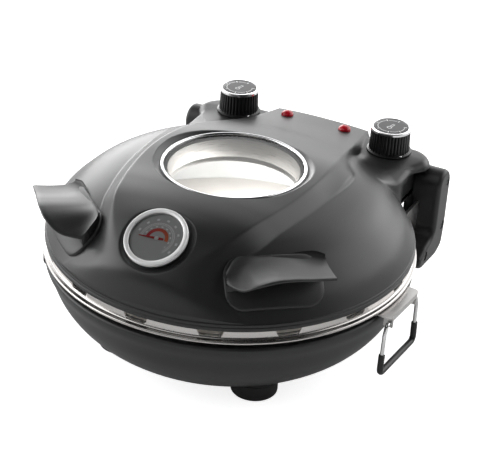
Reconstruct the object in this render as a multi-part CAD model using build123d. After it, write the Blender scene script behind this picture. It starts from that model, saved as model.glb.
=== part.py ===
from build123d import *
from math import cos, hypot, pi, radians, sin, sqrt
import os

os.makedirs("parts", exist_ok=True)

# A countertop cooker: a round base with a heated stone and a hinged lid with a window.
# Each piece is made with the round body's axis at x = y = 0 and with z = 0 in the plane
# of the rolled bead. save() then moves it into the shared frame, which has its origin on
# the table below the middle of the whole object.

# ---------------------------------------------------------------- driving dimensions, mm
bead_height = 99.0  # rolled bead of the base above the table
bead_radius = 178.0  # centre of the bead's round nose
bead_half = 1.5  # half the thickness of the bead
band_radius = bead_radius - 3.2  # outside of the upright steel band
band_top = 9.3  # top of the band above the bead
slot_count = 16  # vent slots round the band
slot_width = 22.0
slot_bottom = 3.7
pan_sheet = 1.0  # steel of the pan
pan_floor = -45.0  # underside of the pan's floor
stone_radius = bead_radius - 23.0
stone_thickness = 12.0
stone_seat = -24.0  # ledge that carries the stone
bowl_radius = bead_radius - 0.4
bowl_sheet = 1.5
bowl_bottom = -90.0
bowl_shelf = -7.0  # top of the bowl's turned-in lip
neck_radius = bead_radius - 8.0  # collar between the lip and the bead
foot_radius = 22.2
foot_x = 72.5
foot_y = 79.2

lid_gap = 1.5  # shadow gap between band and lid
lid_wall = 2.5
hem_radius = bead_radius - 0.8
hem_bottom = band_top + lid_gap
crown_curve = 0.0007  # sideways fall of the crown, mm per mm squared
pod_top = 48.5  # flat round the knobs
pod_side = 132.0  # half the width over both pods
pod_round = 11.0  # rounding of the pods' top edge
pocket_side = 118.5  # the arms stand outside this
pocket_top = 40.0  # underside of the ears over the arm heads

window_radius = 62.5  # clear opening of the window
window_seat = 80.4  # floor of the dish round the window
glass_radius = 66.5
glass_thickness = 3.0
gauge_y = 36.5 - bead_radius  # centre of the gauge's recess
gauge_z = 70.5
gauge_tilt = 31.0  # degrees, towards the front
gauge_radius = 28.8
recess_radius = 37.6
recess_depth = 6.0

pivot_y = bead_radius + 11.0  # hinge axis of the lid
pivot_z = 22.0
pod_rear = pivot_y + 10.0
panel_rear = pivot_y + 16.0  # rear edge of the panel between the pods
knob_x = 87.0
knob_y = pivot_y - 13.5
knob_top = 75.1
knob_radius = 20.6
flute_count = 30
lamp_x = 33.1
lamp_y = panel_rear - 21.5
lamp_radius = 6.6

arm_inner = 120.0  # beside the pods
arm_root = 112.0  # below the pods
arm_outer = 149.0
arm_head = 15.5
arm_y = pivot_y - 5.0  # middle of the arm's head
pin_radius = 4.0
bracket_sheet = 3.0

bail_turn = -4.0  # degrees from the side towards the front
bail_radius = bead_radius + 7.5  # distance of the bail's axis from the body's
bail_z = -11.0
bail_wire = 1.8
bail_sleeve = 3.1

running_clearance = 0.05  # round pins and spindles that turn
free_gap = 0.4  # between pieces that pass each other

body_axis_y = (bead_radius + bead_half - panel_rear) / 2
FAR = 400.0  # longer than anything here


# ---------------------------------------------------------------- helpers
def save(node, shape):
    shape.label = node
    export_step(Pos(0, body_axis_y, bead_height) * shape, f"parts/{node}.step")


def turned(*points):
    """A solid of revolution about the body's axis from a closed outline of (r, z)."""
    outline = Polyline([(r, 0, z) for r, z in points], close=True)
    return revolve(make_face(outline), Axis.Z)


def disc(radius, low, high):
    return Pos(0, 0, low) * extrude(Circle(radius), high - low)


def ring(inner, outer, low, high):
    return disc(outer, low, high) - disc(inner, low, high)


def rod_x(radius, start, end, y, z):
    """A round bar along x."""
    plane = Plane(origin=(start, y, z), z_dir=(1, 0, 0))
    return extrude(plane * Circle(radius), end - start)


def block(x_low, x_high, y_low, y_high, z_low, z_high):
    size = Box(x_high - x_low, y_high - y_low, z_high - z_low)
    middle = ((x_low + x_high) / 2, (y_low + y_high) / 2, (z_low + z_high) / 2)
    return Pos(*middle) * size


def inward(points, depth):
    """Moves an outline of (r, z), listed from the axis outwards, into the material."""
    moved = []
    for i, (r, z) in enumerate(points):
        before = points[max(i - 1, 0)]
        after = points[min(i + 1, len(points) - 1)]
        run = after[0] - before[0]
        rise = after[1] - before[1]
        length = hypot(run, rise)
        moved.append((r + depth * rise / length if r else 0, z - depth * run / length))
    return moved


def both_sides(name, shape):
    """Saves a right-hand piece and its mirror image."""
    save(f"{name}_right", shape)
    save(f"{name}_left", mirror(shape, Plane.YZ))


# ---------------------------------------------------------------- base: pan
pan_wall = neck_radius - bowl_sheet - 0.3  # outside of the pan's wall, inside the collar
ledge_inner = stone_radius - 8.0
ledge_outer = stone_radius + 3.0
pan_inside = [
    (0, pan_floor + pan_sheet),
    (ledge_inner - 3, pan_floor + pan_sheet),
    (ledge_inner, stone_seat),
    (ledge_outer, stone_seat),
    (pan_wall - pan_sheet, -6.0),
    (pan_wall - pan_sheet, bead_half),
    (band_radius - pan_sheet, slot_bottom - 1.0),
    (band_radius - pan_sheet - 0.3, band_top),
]
pan_outside = [
    (band_radius - 0.3, band_top),
    (band_radius, slot_bottom),
    (band_radius + 0.6, slot_bottom - 1.3),
    (bead_radius - 1.0, bead_half + 0.1),
    (bead_radius, bead_half),
    (bead_radius + 0.75, 0.87 * bead_half),
    (bead_radius + 1.3, 0.5 * bead_half),
    (bead_radius + bead_half, 0),
    (bead_radius + 1.3, -0.5 * bead_half),
    (bead_radius + 0.75, -0.87 * bead_half),
    (bead_radius, -bead_half),
    (pan_wall, -bead_half),
    (pan_wall, -6.3),
    (ledge_outer + 0.6, stone_seat - pan_sheet),
    (ledge_inner + 0.9, stone_seat - pan_sheet),
    (ledge_inner - 2, pan_floor),
    (0, pan_floor),
]
pan = turned(*pan_inside, *pan_outside)
slot_height = 14.0
slot_outline = Pos(0, slot_bottom + slot_height / 2) * RectangleRounded(slot_width, slot_height, 3.2)
slot = extrude(Plane.XZ.offset(neck_radius) * slot_outline, 15)
for k in range(slot_count):
    pan -= Rot(0, 0, 360 / slot_count * k) * slot

# ---------------------------------------------------------------- base: bowl
bowl_curve = [
    (bowl_radius - 79.6, bowl_bottom),
    (bowl_radius - 63.6, -87.3),
    (bowl_radius - 48.6, -80),
    (bowl_radius - 32.1, -68),
    (bowl_radius - 20.4, -55.5),
    (bowl_radius - 12.3, -43),
    (bowl_radius - 4.7, -24),
    (bowl_radius, -11.5),
]


def bowl_face(curve, shelf):
    """Half section of the bowl's filled form up to the shelf of its turned-in lip."""
    low = curve[0]
    high = curve[-1]
    spline = Spline([(r, 0, z) for r, z in curve], tangents=[(1, 0, 0), (0.1, 0, 1)])
    lip = ThreePointArc((high[0], 0, high[1]), (high[0] - 0.9, 0, shelf - 1.3), (high[0] - 3.4, 0, shelf))
    rest = Polyline([(high[0] - 3.4, 0, shelf), (0, 0, shelf), (0, 0, low[1]), (low[0], 0, low[1])])
    return make_face([*spline.edges(), *lip.edges(), *rest.edges()])


bowl_form = revolve(bowl_face(bowl_curve, bowl_shelf), Axis.Z)
bowl_inside = inward(bowl_curve, -bowl_sheet)
bowl_hollow = revolve(bowl_face(bowl_inside, bowl_shelf - bowl_sheet), Axis.Z)
collar = ring(neck_radius - bowl_sheet, neck_radius, bowl_shelf - bowl_sheet, -bead_half)
cover_radius = 78.0
gland_z = -50.0
gland_radius = 7.0
bowl = bowl_form - bowl_hollow
bowl -= disc(neck_radius - bowl_sheet, bowl_shelf - bowl_sheet - 1, 0)
bowl += collar
bowl -= disc(cover_radius - 8, bowl_bottom - 1, bowl_bottom + bowl_sheet + 1)

gland_length = 21.0
gland_plane = Plane(origin=(0, bowl_radius - 25.6, gland_z), z_dir=(0, 1, 0))
gland = extrude(gland_plane * Circle(gland_radius), gland_length)
bowl -= gland
gland += extrude(gland_plane.offset(15) * Circle(gland_radius + 2.5), 3)
gland -= extrude(gland_plane * Circle(gland_radius - 3), gland_length)

bottom_cover = disc(cover_radius, bowl_bottom - 1.2, bowl_bottom)
foot_blank = disc(foot_radius, -bead_height, -70)
foot_blank = chamfer(foot_blank.edges().group_by(Axis.Z)[0], 1.5)

save("base_bowl", bowl)
save("cord_gland", gland)
save("bottom_cover", bottom_cover)
for side, x in (("right", foot_x), ("left", -foot_x)):
    for end, y in (("front", -foot_y), ("rear", foot_y)):
        save(f"foot_{end}_{side}", Pos(x, y, 0) * foot_blank - bowl_form)

# ---------------------------------------------------------------- base: stone and heater
stone = disc(stone_radius, stone_seat, stone_seat + stone_thickness)
save("baking_stone", chamfer(stone.edges().group_by(Axis.Z)[-1], 1.2))

tube_radius = 3.3


def heater(radius, height, leg_end):
    """A round heater bar bent into a ring, with both ends turned along z to leg_end."""
    up = 1 if leg_end > height else -1
    bend = 9.0
    start = radians(8)
    px = radius * sin(start)
    py = radius * cos(start)
    along = (cos(start), -sin(start))
    qx = px - bend * along[0]
    qy = py - bend * along[1]
    half = bend / sqrt(2)
    mx = px - half * along[0]
    my = py - half * along[1]
    mz = height + up * (bend - half)
    right = [
        Line((qx, qy, leg_end), (qx, qy, height + up * bend)),
        ThreePointArc((qx, qy, height + up * bend), (mx, my, mz), (px, py, height)),
    ]
    turn = ThreePointArc((px, py, height), (0, -radius, height), (-px, py, height))
    left = [
        ThreePointArc((-px, py, height), (-mx, my, mz), (-qx, qy, height + up * bend)),
        Line((-qx, qy, height + up * bend), (-qx, qy, leg_end)),
    ]
    return right, turn, left


def heater_bar(radius, height, leg_end, thickness):
    right, turn, left = heater(radius, height, leg_end)
    bar = None
    for path in (*right, turn, *left):
        section = Plane(origin=path @ 0, z_dir=path % 0) * Circle(thickness)
        piece = sweep(section, path=path)
        bar = piece if bar is None else bar + piece
    return bar


lower_radius = 100.0
lower_z = -36.0
lower_leg = -66.0
lower_element = heater_bar(lower_radius, lower_z, lower_leg, tube_radius)
save("lower_element", lower_element)
save("base_pan", pan - lower_element)
clip_width = 10.0
for name, turn in (("right", 120), ("left", 240)):
    clip = block(-clip_width / 2, clip_width / 2, lower_radius - 2, lower_radius + 2, pan_floor + pan_sheet, lower_z)
    clip = Rot(0, 0, turn) * clip
    save(f"lower_clip_{name}", clip - lower_element)

# ---------------------------------------------------------------- hinge arms and brackets
arm_front = arm_y - arm_head
arm_rear = arm_y + arm_head
arm_outline = [
    (arm_front, pivot_z),
    (arm_front, -29),
    (arm_front - 21, -36),
    (arm_front - 35, -43),
    (arm_front - 37, -50.5),
    (arm_front - 29, -56.5),
    (arm_front + 11.5, -59),
    (arm_rear - 3, -53),
    (arm_rear, -30),
    (arm_rear, pivot_z),
]
arm_face = make_face(Polyline(arm_outline, close=True))
arm_face = fillet([v for v in arm_face.vertices() if v.Y < 8], 5)
root_cut = [(0, hem_bottom - free_gap), (arm_front + 4.5, hem_bottom - free_gap), (arm_front + 12.5, 6), (FAR, 6)]
root_face = arm_face & make_face(Polyline([*root_cut, (FAR, -FAR), (0, -FAR)], close=True))
arm_face += Pos(arm_y, pivot_z) * Circle(arm_head)
arm_plane = Plane(origin=(arm_inner, 0, 0), x_dir=(0, 1, 0), z_dir=(1, 0, 0))
arm = extrude(arm_plane * arm_face, arm_outer - arm_inner)
arm = chamfer(arm.faces().sort_by(Axis.X)[-1].edges(), 3.2)
arm += extrude(arm_plane.offset(arm_root - arm_inner) * root_face, arm_inner - arm_root)
pin = rod_x(pin_radius, arm_inner - 14, arm_inner + 18, pivot_y, pivot_z)
arm -= pin

bracket_x = 125.0
bracket_outline = [
    (bracket_x - 21, -14),
    (bracket_x + 6, -8),
    (bracket_x + 12, 4),
    (arm_rear - 8, 4),
    (arm_rear - 8, -38),
    (arm_front - 19, -49),
    (bracket_x - 21, -42),
]
bracket_face = fillet(make_face(Polyline(bracket_outline, close=True)).vertices(), 4)
bracket_plane = Plane(origin=(bracket_x, 0, 0), x_dir=(0, 1, 0), z_dir=(1, 0, 0))
bracket = extrude(bracket_plane * bracket_face, bracket_sheet) - bowl_form
arm -= bracket

screw_head = 4.2
screw_shank = 2.2
screw_places = {
    "top": (arm_y + 7, pivot_z + 1.3),
    "middle": (arm_y + 5, -27.0),
    "bottom": (arm_front - 21, -44.5),
}
recess_floor = arm_outer - 2.6
for name, (y, z) in screw_places.items():
    shank_end = arm_inner + 22 if name == "top" else bracket_x
    screw = rod_x(screw_shank, shank_end, recess_floor, y, z)
    screw += rod_x(screw_head, recess_floor, recess_floor + 1.8, y, z)
    cross = block(recess_floor + 1.0, arm_outer, y - 2.6, y + 2.6, z - 0.5, z + 0.5)
    arm -= rod_x(screw_head + 0.6, recess_floor, arm_outer + 1, y, z)
    arm -= rod_x(screw_shank, shank_end, recess_floor + 1, y, z)
    bracket -= rod_x(screw_shank, bracket_x - 1, bracket_x + bracket_sheet + 1, y, z)
    both_sides(f"arm_screw_{name}", screw - cross)
both_sides("hinge_arm", arm)
both_sides("hinge_pin", pin)
both_sides("hinge_bracket", bracket)

# ---------------------------------------------------------------- bails on the base
flange_top = -3.0
flange_sheet = 1.5
ear_at = 24.0
bail_turn_by = Rot(0, 0, bail_turn)
flange_end = bail_radius + 3.0
flange = block(neck_radius + 0.5, flange_end, -30, 30, flange_top - flange_sheet, flange_top)
flange = fillet(flange.edges().filter_by(Axis.Z).group_by(Axis.X)[-1], 5)
flange -= block(neck_radius, bead_radius - 1, -20, 20, flange_top - 2, flange_top + 1)
lip_fold = block(flange_end - 1.5, flange_end, -25, 25, -8.5, flange_top - flange_sheet / 2)
bail_bracket = flange + lip_fold
for y in (-ear_at, ear_at):
    ear = block(flange_end - 9, flange_end, y - 0.75, y + 0.75, -15.5, flange_top - flange_sheet)
    bail_bracket += ear
    foot_tab = block(neck_radius + 0.5, neck_radius + 3.5, y - 5, y + 5, bowl_shelf, flange_top - flange_sheet)
    bail_bracket += foot_tab
bail_plane = Plane(origin=(bail_radius, 0, 0), x_dir=(0, 1, 0), z_dir=(1, 0, 0))
half_path = [(ear_at - 4, bail_z), (ear_at + 6, bail_z), (33, -21), (34.5, -61)]
whole_path = half_path + [(-y, z) for y, z in reversed(half_path)]
bail_path = FilletPolyline(whole_path, radius=3.4)
bail_path = bail_plane * bail_path
bail = sweep(Plane(origin=bail_path @ 0, z_dir=bail_path % 0) * Circle(bail_wire), path=bail_path)
sleeve_points = [(34.0, -41), (34.5, -61), (-34.5, -61), (-34.0, -41)]
sleeve_path = bail_plane * FilletPolyline(sleeve_points, radius=5)
sleeve = sweep(Plane(origin=sleeve_path @ 0, z_dir=sleeve_path % 0) * Circle(bail_sleeve), path=sleeve_path)
for y in (-ear_at - 2, ear_at - 2):
    eye_plane = Plane(origin=(bail_radius, y, bail_z), z_dir=(0, 1, 0))
    bail_bracket -= extrude(eye_plane * Circle(bail_wire + 0.3), 4)
both_sides("bail", bail_turn_by * bail)
both_sides("bail_sleeve", bail_turn_by * (sleeve - bail))
both_sides("bail_bracket", bail_turn_by * bail_bracket)

# ---------------------------------------------------------------- lid: outer form
dome_curve = [
    (0, 76),
    (60, 75.4),
    (hem_radius - 77.2, 72.4),
    (hem_radius - 53.2, 66.2),
    (hem_radius - 35.2, 56.8),
    (hem_radius - 22.2, 45.6),
    (hem_radius - 9.7, 32),
    (hem_radius - 1.8, 17.4),
]
nose_curve = [
    (0, 115),
    (hem_radius - 67.2, 97),
    (hem_radius - 31.2, 77),
    (hem_radius - 14.2, 59),
    (hem_radius - 5.7, 43),
    (hem_radius - 1.6, 17.4),
]
# y, height in the middle, then (x, z) of the crown's edge and of the bevel's foot
tongue_stations = [
    (panel_rear, 51.0, (51.5, 49.2), (57.5, 40.2)),
    (panel_rear - 40, 57.3, (57.8, 55.0), (64.8, 45.0)),
    (panel_rear - 73, 64.5, (63.1, 61.7), (72.1, 47.7)),
    (panel_rear - 107, 74.0, (70.0, 70.6), (86.0, 58.6)),
    (53, 83.5, (79.3, 81.2), (97.0, 73.2)),
    (0, 87.0, (84.0, 84.4), (99.0, 72.4)),
    (-51, 87.5, (79.0, 83.0), (92.2, 72.6)),
    (gauge_y + 66, 86.6, (73.7, 82.0), (86.5, 72.2)),
    (gauge_y + 37.5, 84.0, (65.5, 78.4), (77.7, 70.6)),
    (gauge_y + 16.5, 79.2, (55.8, 71.4), (66.6, 63.5)),
    (gauge_y - 3.5, 69.0, (44.0, 61.5), (55.0, 54.0)),
    (gauge_y - 23.5, 56.5, (32.0, 50.5), (43.0, 43.5)),
    (gauge_y - 44.5, 43.0, (26.0, 38.0), (36.0, 31.0)),
]
pod_waist = pod_side - 10.0
pod_outline = [
    (96, 72),
    (pod_waist, 122),
    (pod_waist, pod_rear - 45),
    (pod_side, pod_rear - 30),
    (pod_side, pod_rear),
    (0, pod_rear),
    (0, 72),
]
pod_corners = {
    (pod_waist, 122): 25,
    (pod_waist, pod_rear - 45): 14,
    (pod_side, pod_rear - 30): 10,
    (pod_side, pod_rear): 25,
}


def dome_form(curve, inset, low):
    moved = inward(curve, inset)
    spline = Spline([(r, 0, z) for r, z in moved])
    last = moved[-1]
    rest = Polyline([(last[0], 0, last[1]), (last[0], 0, low), (0, 0, low), (0, 0, moved[0][1])])
    return revolve(make_face([*spline.edges(), *rest.edges()]), Axis.Z)


def tongue_section(y, middle, edge, foot, inset):
    """Closed outline across the tongue: crown, bevel and two flanks that sink into the dome."""
    spread = 1.0 if y < pivot_y / 2 else 0.15
    flank = (foot[0] + 12 * spread, foot[1] - 10)
    toe = (flank[0] + 34 * spread, flank[1] - 30)
    half = [(edge[0] - 0.6 * inset, edge[1] - inset)]
    half += [(x - inset, z - 0.5 * inset) for x, z in (foot, flank, toe)]
    right = [(x, y, z) for x, z in half] + [(toe[0] - inset, y, -40)]
    left = [(-x, y, z) for x, y, z in reversed(right)]
    crown = ThreePointArc(left[-1], (0, y, middle - inset), right[0])
    rest = Polyline([*right, *left])
    return Face(Wire([*crown.edges(), *rest.edges()]))


def tongue_form(inset):
    sections = []
    for y, middle, edge, foot in tongue_stations:
        sections.append(tongue_section(min(y, panel_rear - inset), middle, edge, foot, inset))
    body = loft(sections)
    body -= block(-FAR, FAR, -FAR, -60, -FAR, FAR) - dome_form(nose_curve, inset, 0)
    low = hem_bottom if inset <= 0 else 5
    body -= block(-FAR, FAR, -FAR, FAR, -FAR, low)
    inside = block(-51 + inset, 51 - inset, 100, panel_rear - inset, low, 40)
    return body - block(-FAR, FAR, pod_rear - 49, FAR, -FAR, 30) + inside


def pod_plan(inset):
    outline = make_face(Polyline(pod_outline, close=True))
    for (x, y), size in pod_corners.items():
        corner = outline.vertices().sort_by_distance((x, y, 0))[0]
        outline = fillet([corner], size)
    outline += mirror(outline, Plane.YZ)
    if inset > 0:
        outline = offset(outline, -inset, kind=Kind.INTERSECTION)
    return outline


def pod_form(inset):
    low = hem_bottom if inset <= 0 else 5
    top = pod_top - inset
    body = Pos(0, 0, low) * extrude(pod_plan(inset), top - low)
    rim = [e for e in body.edges().group_by(Axis.Z)[-1] if e.center().Y > 74]
    return fillet(rim, max(pod_round - inset, 2.0))


def lid_form(inset):
    low = hem_bottom if inset <= 0 else 5
    return dome_form(dome_curve, inset, low) + tongue_form(inset) + pod_form(inset)


# ---------------------------------------------------------------- lid: shell
gauge_lean = radians(gauge_tilt)
gauge_plane = Plane(origin=(0, gauge_y, gauge_z), x_dir=(1, 0, 0), z_dir=(0, -sin(gauge_lean), cos(gauge_lean)))


def at_gauge(*points):
    """A solid of revolution about the gauge's axis from (r, distance above its recess)."""
    outline = make_face(Polyline([(r, 0, d) for r, d in points], close=True))
    return gauge_plane * revolve(outline, Axis.Z)


dish = turned((0, window_seat), (70, window_seat), (75.5, 84.6), (80, FAR), (0, FAR))
recess = at_gauge(
    (0, -recess_depth),
    (gauge_radius + 1.6, -recess_depth),
    (gauge_radius + 5, -recess_depth * 0.6),
    (recess_radius, 0),
    (recess_radius + 4, 40),
    (0, 40),
)
window_boss = disc(78, window_seat - 6, FAR)
gauge_boss = at_gauge(
    (0, -recess_depth - lid_wall),
    (recess_radius, -recess_depth - lid_wall),
    (recess_radius + 3, -lid_wall),
    (recess_radius + 8, 40),
    (0, 40),
)
outer_form = lid_form(0)
inner_form = lid_form(lid_wall)
inner_form -= window_boss
inner_form -= gauge_boss
pocket_front = pod_rear - 43
for side in (-1, 1):
    edges = sorted((side * (pocket_side - lid_wall), side * FAR))
    inner_form -= block(edges[0], edges[1], pocket_front - 2, FAR, -FAR, FAR)

lug_radius = 9.0
hem = ring(hem_radius - lid_wall - 1.2, hem_radius, hem_bottom, hem_bottom + 3.0)
hem += ring(hem_radius - lid_wall - 1.2, hem_radius - 0.8, hem_bottom + 3.0, hem_bottom + 6.2)
hem -= inner_form
shell = outer_form + hem - inner_form
shell -= dish
shell -= recess
shell -= disc(window_radius, 0, FAR)
shell -= disc(glass_radius, window_seat - glass_thickness, FAR)
shell -= at_gauge((0, -40), (5, -40), (5, 40), (0, 40))
for side in (-1, 1):
    edges = sorted((side * pocket_side, side * FAR))
    shell -= block(edges[0], edges[1], pocket_front, FAR, -FAR, pocket_top)
    edges = sorted((side * (pocket_side - 14.5), side * pocket_side))
    lug = rod_x(lug_radius, edges[0], edges[1], pivot_y, pivot_z)
    shell += lug
    shell -= rod_x(pin_radius + running_clearance, edges[0] - 2, edges[1] + 2, pivot_y, pivot_z)
    shell -= Pos(side * knob_x, knob_y, 0) * disc(3.6, 30, 60)
    shell -= Pos(side * lamp_x, lamp_y, 0) * disc(lamp_radius, 30, 70)
shell = max(shell.solids(), key=lambda piece: piece.volume)
save("lid_shell", shell)

floor_sheet = 1.5
floor_plate = Pos(0, 0, hem_bottom) * extrude(pod_plan(lid_wall), floor_sheet)
floor_plate += block(-51 + lid_wall, 51 - lid_wall, pod_rear - 19, panel_rear - lid_wall, hem_bottom, hem_bottom + floor_sheet)
floor_plate -= block(-FAR, -pocket_side + lid_wall, pocket_front - 2, FAR, 0, 50)
floor_plate -= block(pocket_side - lid_wall, FAR, pocket_front - 2, FAR, 0, 50)
floor_plate -= disc(band_radius + 0.6, 0, 50)
for side in (-1, 1):
    edges = sorted((side * (pocket_side - 18.5), side * FAR))
    floor_plate -= rod_x(lug_radius, edges[0], edges[1], pivot_y, pivot_z)
floor_plate -= shell
floor_plate = max(floor_plate.solids(), key=lambda piece: piece.volume)
save("housing_floor", floor_plate)

# ---------------------------------------------------------------- lid: inside
reflector_sheet = 0.8
well_sheet = 0.8
reflector_curve = [
    (window_radius + well_sheet, 55.0),
    (hem_radius - 67.2, 52.5),
    (hem_radius - 39.2, 42.0),
    (hem_radius - 20.2, 26.0),
    (hem_radius - 13.2, 15.2),
    (hem_radius - lid_wall - 1.2, 14.4),
]
reflector_under = [(r, z - reflector_sheet) for r, z in reflector_curve]
reflector = turned(*reflector_curve, *reversed(reflector_under))
upper_radius = 108.0
upper_z = 42.0
upper_element = heater_bar(upper_radius, upper_z, 63.0, tube_radius)
reflector -= upper_element
stem_radius = 3.0
stem_end = -40.0
reflector -= at_gauge((0, -60), (stem_radius, -60), (stem_radius, 0), (0, 0))
save("lid_reflector", reflector - shell)
save("upper_element", upper_element)
window_low = window_seat - 6
well = ring(window_radius, window_radius + well_sheet, 54.0, window_low)
well += ring(window_radius, window_radius + 4, window_low - 0.8, window_low)
save("window_well", well)
for name, turn in (("right", 120), ("left", 240)):
    clip = block(-5, 5, upper_radius - 2, upper_radius + 2, upper_z, 60)
    clip = Rot(0, 0, turn) * clip
    over = turned(*reflector_under, (hem_radius, FAR), (0, FAR))
    save(f"upper_clip_{name}", clip - upper_element - over)

save("window_glass", disc(glass_radius, window_seat - glass_thickness, window_seat))
bezel_outer = 69.3
window_bezel = turned(
    (window_radius + 1.9, window_seat),
    (bezel_outer, window_seat),
    (bezel_outer, window_seat + 1.0),
    (bezel_outer - 1.0, window_seat + 1.8),
    (window_radius + 3.0, window_seat + 1.8),
    (window_radius + 1.9, window_seat + 1.0),
)
save("window_bezel", window_bezel)

# ---------------------------------------------------------------- lid: gauge
bezel_height = 2.9
lens_top = 1.9
lens_low = 0.5
dial_top = -1.3
dial_sheet = 0.8
cup_outer = gauge_radius - 1.4
dial_radius = 24.9
cup = at_gauge(
    (0, -recess_depth),
    (cup_outer, -recess_depth),
    (cup_outer, lens_low),
    (dial_radius + 0.1, lens_low),
    (dial_radius + 0.1, dial_top - dial_sheet),
    (21, dial_top - dial_sheet),
    (21, -recess_depth + 1.2),
    (0, -recess_depth + 1.2),
)
cup += at_gauge((0, -recess_depth), (5, -recess_depth), (5, -12), (stem_radius, -12), (stem_radius, stem_end), (0, stem_end))
lens = at_gauge((0, lens_low), (cup_outer - 0.6, lens_low), (cup_outer - 0.6, lens_top), (0, lens_top))
gauge_bezel = at_gauge(
    (cup_outer, -1.0),
    (gauge_radius, -1.0),
    (gauge_radius, lens_top),
    (gauge_radius - 1.2, bezel_height),
    (24.6, bezel_height),
    (24.2, lens_top),
    (cup_outer - 0.6, lens_top),
    (cup_outer - 0.6, lens_low),
    (cup_outer, lens_low),
)
needle_low = dial_top + free_gap
needle_sheet = 0.6
arbor = 0.9
dial = at_gauge(
    (arbor + running_clearance, dial_top - dial_sheet),
    (dial_radius, dial_top - dial_sheet),
    (dial_radius, dial_top),
    (arbor + running_clearance, dial_top),
)
needle_turn = 186.0
needle_outline = Polyline([(-6.5, -0.9), (-6.5, 0.9), (0, 1.1), (16.5, 0.3), (16.5, -0.3), (0, -1.1)], close=True)
needle = Rot(0, 0, needle_turn) * extrude(make_face(needle_outline), needle_sheet)
needle += disc(2.3, 0, needle_sheet + 0.4)
needle += disc(arbor, dial_top - dial_sheet - 1.5 - needle_low, 0)
needle = gauge_plane * Pos(0, 0, needle_low) * needle
save("gauge_cup", cup)
save("gauge_lens", lens)
save("gauge_bezel", gauge_bezel)
save("gauge_dial", dial)
save("gauge_needle", needle)

# ---------------------------------------------------------------- lid: handles
pad_thickness = 2.8
pad_turn = -50.5  # degrees from the right-hand side towards the front
pad_lean = radians(42)
pad_plane = Plane(
    origin=(bead_radius - 21.0, 0, 45.0),
    x_dir=(0, 1, 0),
    z_dir=(sin(pad_lean), 0, cos(pad_lean)),
)
pad_block = extrude(pad_plane.offset(-25) * Pos(6, 3) * RectangleRounded(88, 48, 17), 60)
grown_form = lid_form(-pad_thickness)
pad = Rot(0, 0, pad_turn) * pad_block & grown_form
wing_sheet = 2.8
# place along the pad, then (distance inside the bead, height) of the root, valley and free edge
wing_stations = [
    (-37, (24, 58.0), (21, 54.5), (17.5, 51.2)),
    (-28, (35, 64.0), (20.5, 56.5), (2.3, 54.5)),
    (-16, (38.3, 64.6), (23.7, 61.3), (-6.8, 62.5)),
    (0, (39.7, 63.3), (27, 62.4), (-8, 66.6)),
    (18, (42, 62.2), (29.5, 61.0), (-5.6, 65.8)),
    (36, (44, 62.6), (32, 58.0), (-2.2, 62.8)),
    (46, (42, 63.2), (31.5, 56.6), (-0.8, 61.6)),
    (54, (33, 60.8), (29.5, 55.6), (0.6, 60.6)),
]


def wing_section(along, root, valley, edge):
    outline = [
        root,
        valley,
        edge,
        (edge[0] + 0.6, edge[1] - wing_sheet),
        (valley[0] - 3, valley[1] - wing_sheet - 1),
        (valley[0] - 1, valley[1] - 22),
        (root[0] + 2, root[1] - 16),
    ]
    return make_face(Polyline([(bead_radius - inside, along, z) for inside, z in outline], close=True))


wing = Rot(0, 0, pad_turn) * loft([wing_section(*station) for station in wing_stations])
handle = pad + wing - outer_form
handle = max(handle.solids(), key=lambda piece: piece.volume)
both_sides("handle", handle)

# ---------------------------------------------------------------- lid: knobs and lamps
skirt_low = pod_top + free_gap
skirt_top = skirt_low + 1.8
ring_low = knob_top - 3.2
cap_low = knob_top - 1.0
cap_radius = 18.1
knob_ring = turned(
    (cap_radius - 1.1, ring_low),
    (knob_radius + 0.2, ring_low),
    (knob_radius + 0.2, knob_top - 0.9),
    (cap_radius + 0.8, knob_top),
    (cap_radius, knob_top),
    (cap_radius, cap_low),
    (cap_radius - 1.1, cap_low),
)
knob_cap = disc(cap_radius, cap_low, knob_top - 0.1)
knob_body = turned((0, skirt_low), (22.6, skirt_low), (22.9, skirt_low + 0.6), (22.0, skirt_top), (0, skirt_top))
fluted = Circle(knob_radius)
for k in range(flute_count):
    angle = 2 * pi * k / flute_count
    fluted -= Pos(knob_radius * cos(angle), knob_radius * sin(angle)) * Circle(1.0)
knob_body += Pos(0, 0, skirt_top) * extrude(fluted, ring_low - skirt_top)
knob_body += disc(cap_radius - 1.1, ring_low, cap_low)
spindle_radius = 3.0
spindle_low = 34.0
spindle = disc(spindle_radius, spindle_low, skirt_low + 12)
knob_body -= spindle
mechanism = disc(15, 16, pod_top - lid_wall)
mechanism -= disc(spindle_radius + running_clearance, spindle_low - 1, pod_top)
stud_turn = -35.0
stud = Rot(0, 0, stud_turn) * Pos(21.6, 0, skirt_top - 0.5) * Sphere(1.2)
stud &= disc(40, skirt_top - 1.0, FAR)
lamp = turned(
    (0, 46),
    (lamp_radius, 46),
    (lamp_radius, 55.4),
    (lamp_radius * 0.92, 56.6),
    (lamp_radius * 0.7, 57.6),
    (lamp_radius * 0.4, 58.2),
    (0, 58.4),
)
for name, side in (("timer", -1), ("thermostat", 1)):
    spot = Pos(side * knob_x, knob_y, 0)
    save(f"{name}_knob", spot * (knob_body - stud))
    save(f"{name}_ring", spot * knob_ring)
    save(f"{name}_cap", spot * knob_cap)
    save(f"{name}_pointer", spot * stud)
    save(f"{name}_spindle", spot * spindle)
    save(f"{name}_mechanism", spot * mechanism)
save("pilot_lamp_right", Pos(lamp_x, lamp_y, 0) * lamp)
save("pilot_lamp_left", Pos(-lamp_x, lamp_y, 0) * lamp)
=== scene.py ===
# %% [markdown]
# # A countertop pizza maker
#
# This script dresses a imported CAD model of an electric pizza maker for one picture.
# The steel rim, the black moulded lid, the gauge and the grips are built here as fine
# meshes from short formulas. The CAD solids that they stand for stay hidden.
# Lengths are in millimetres while a piece is made, and in metres in the scene.

from math import cos, pi, radians, sin

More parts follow.
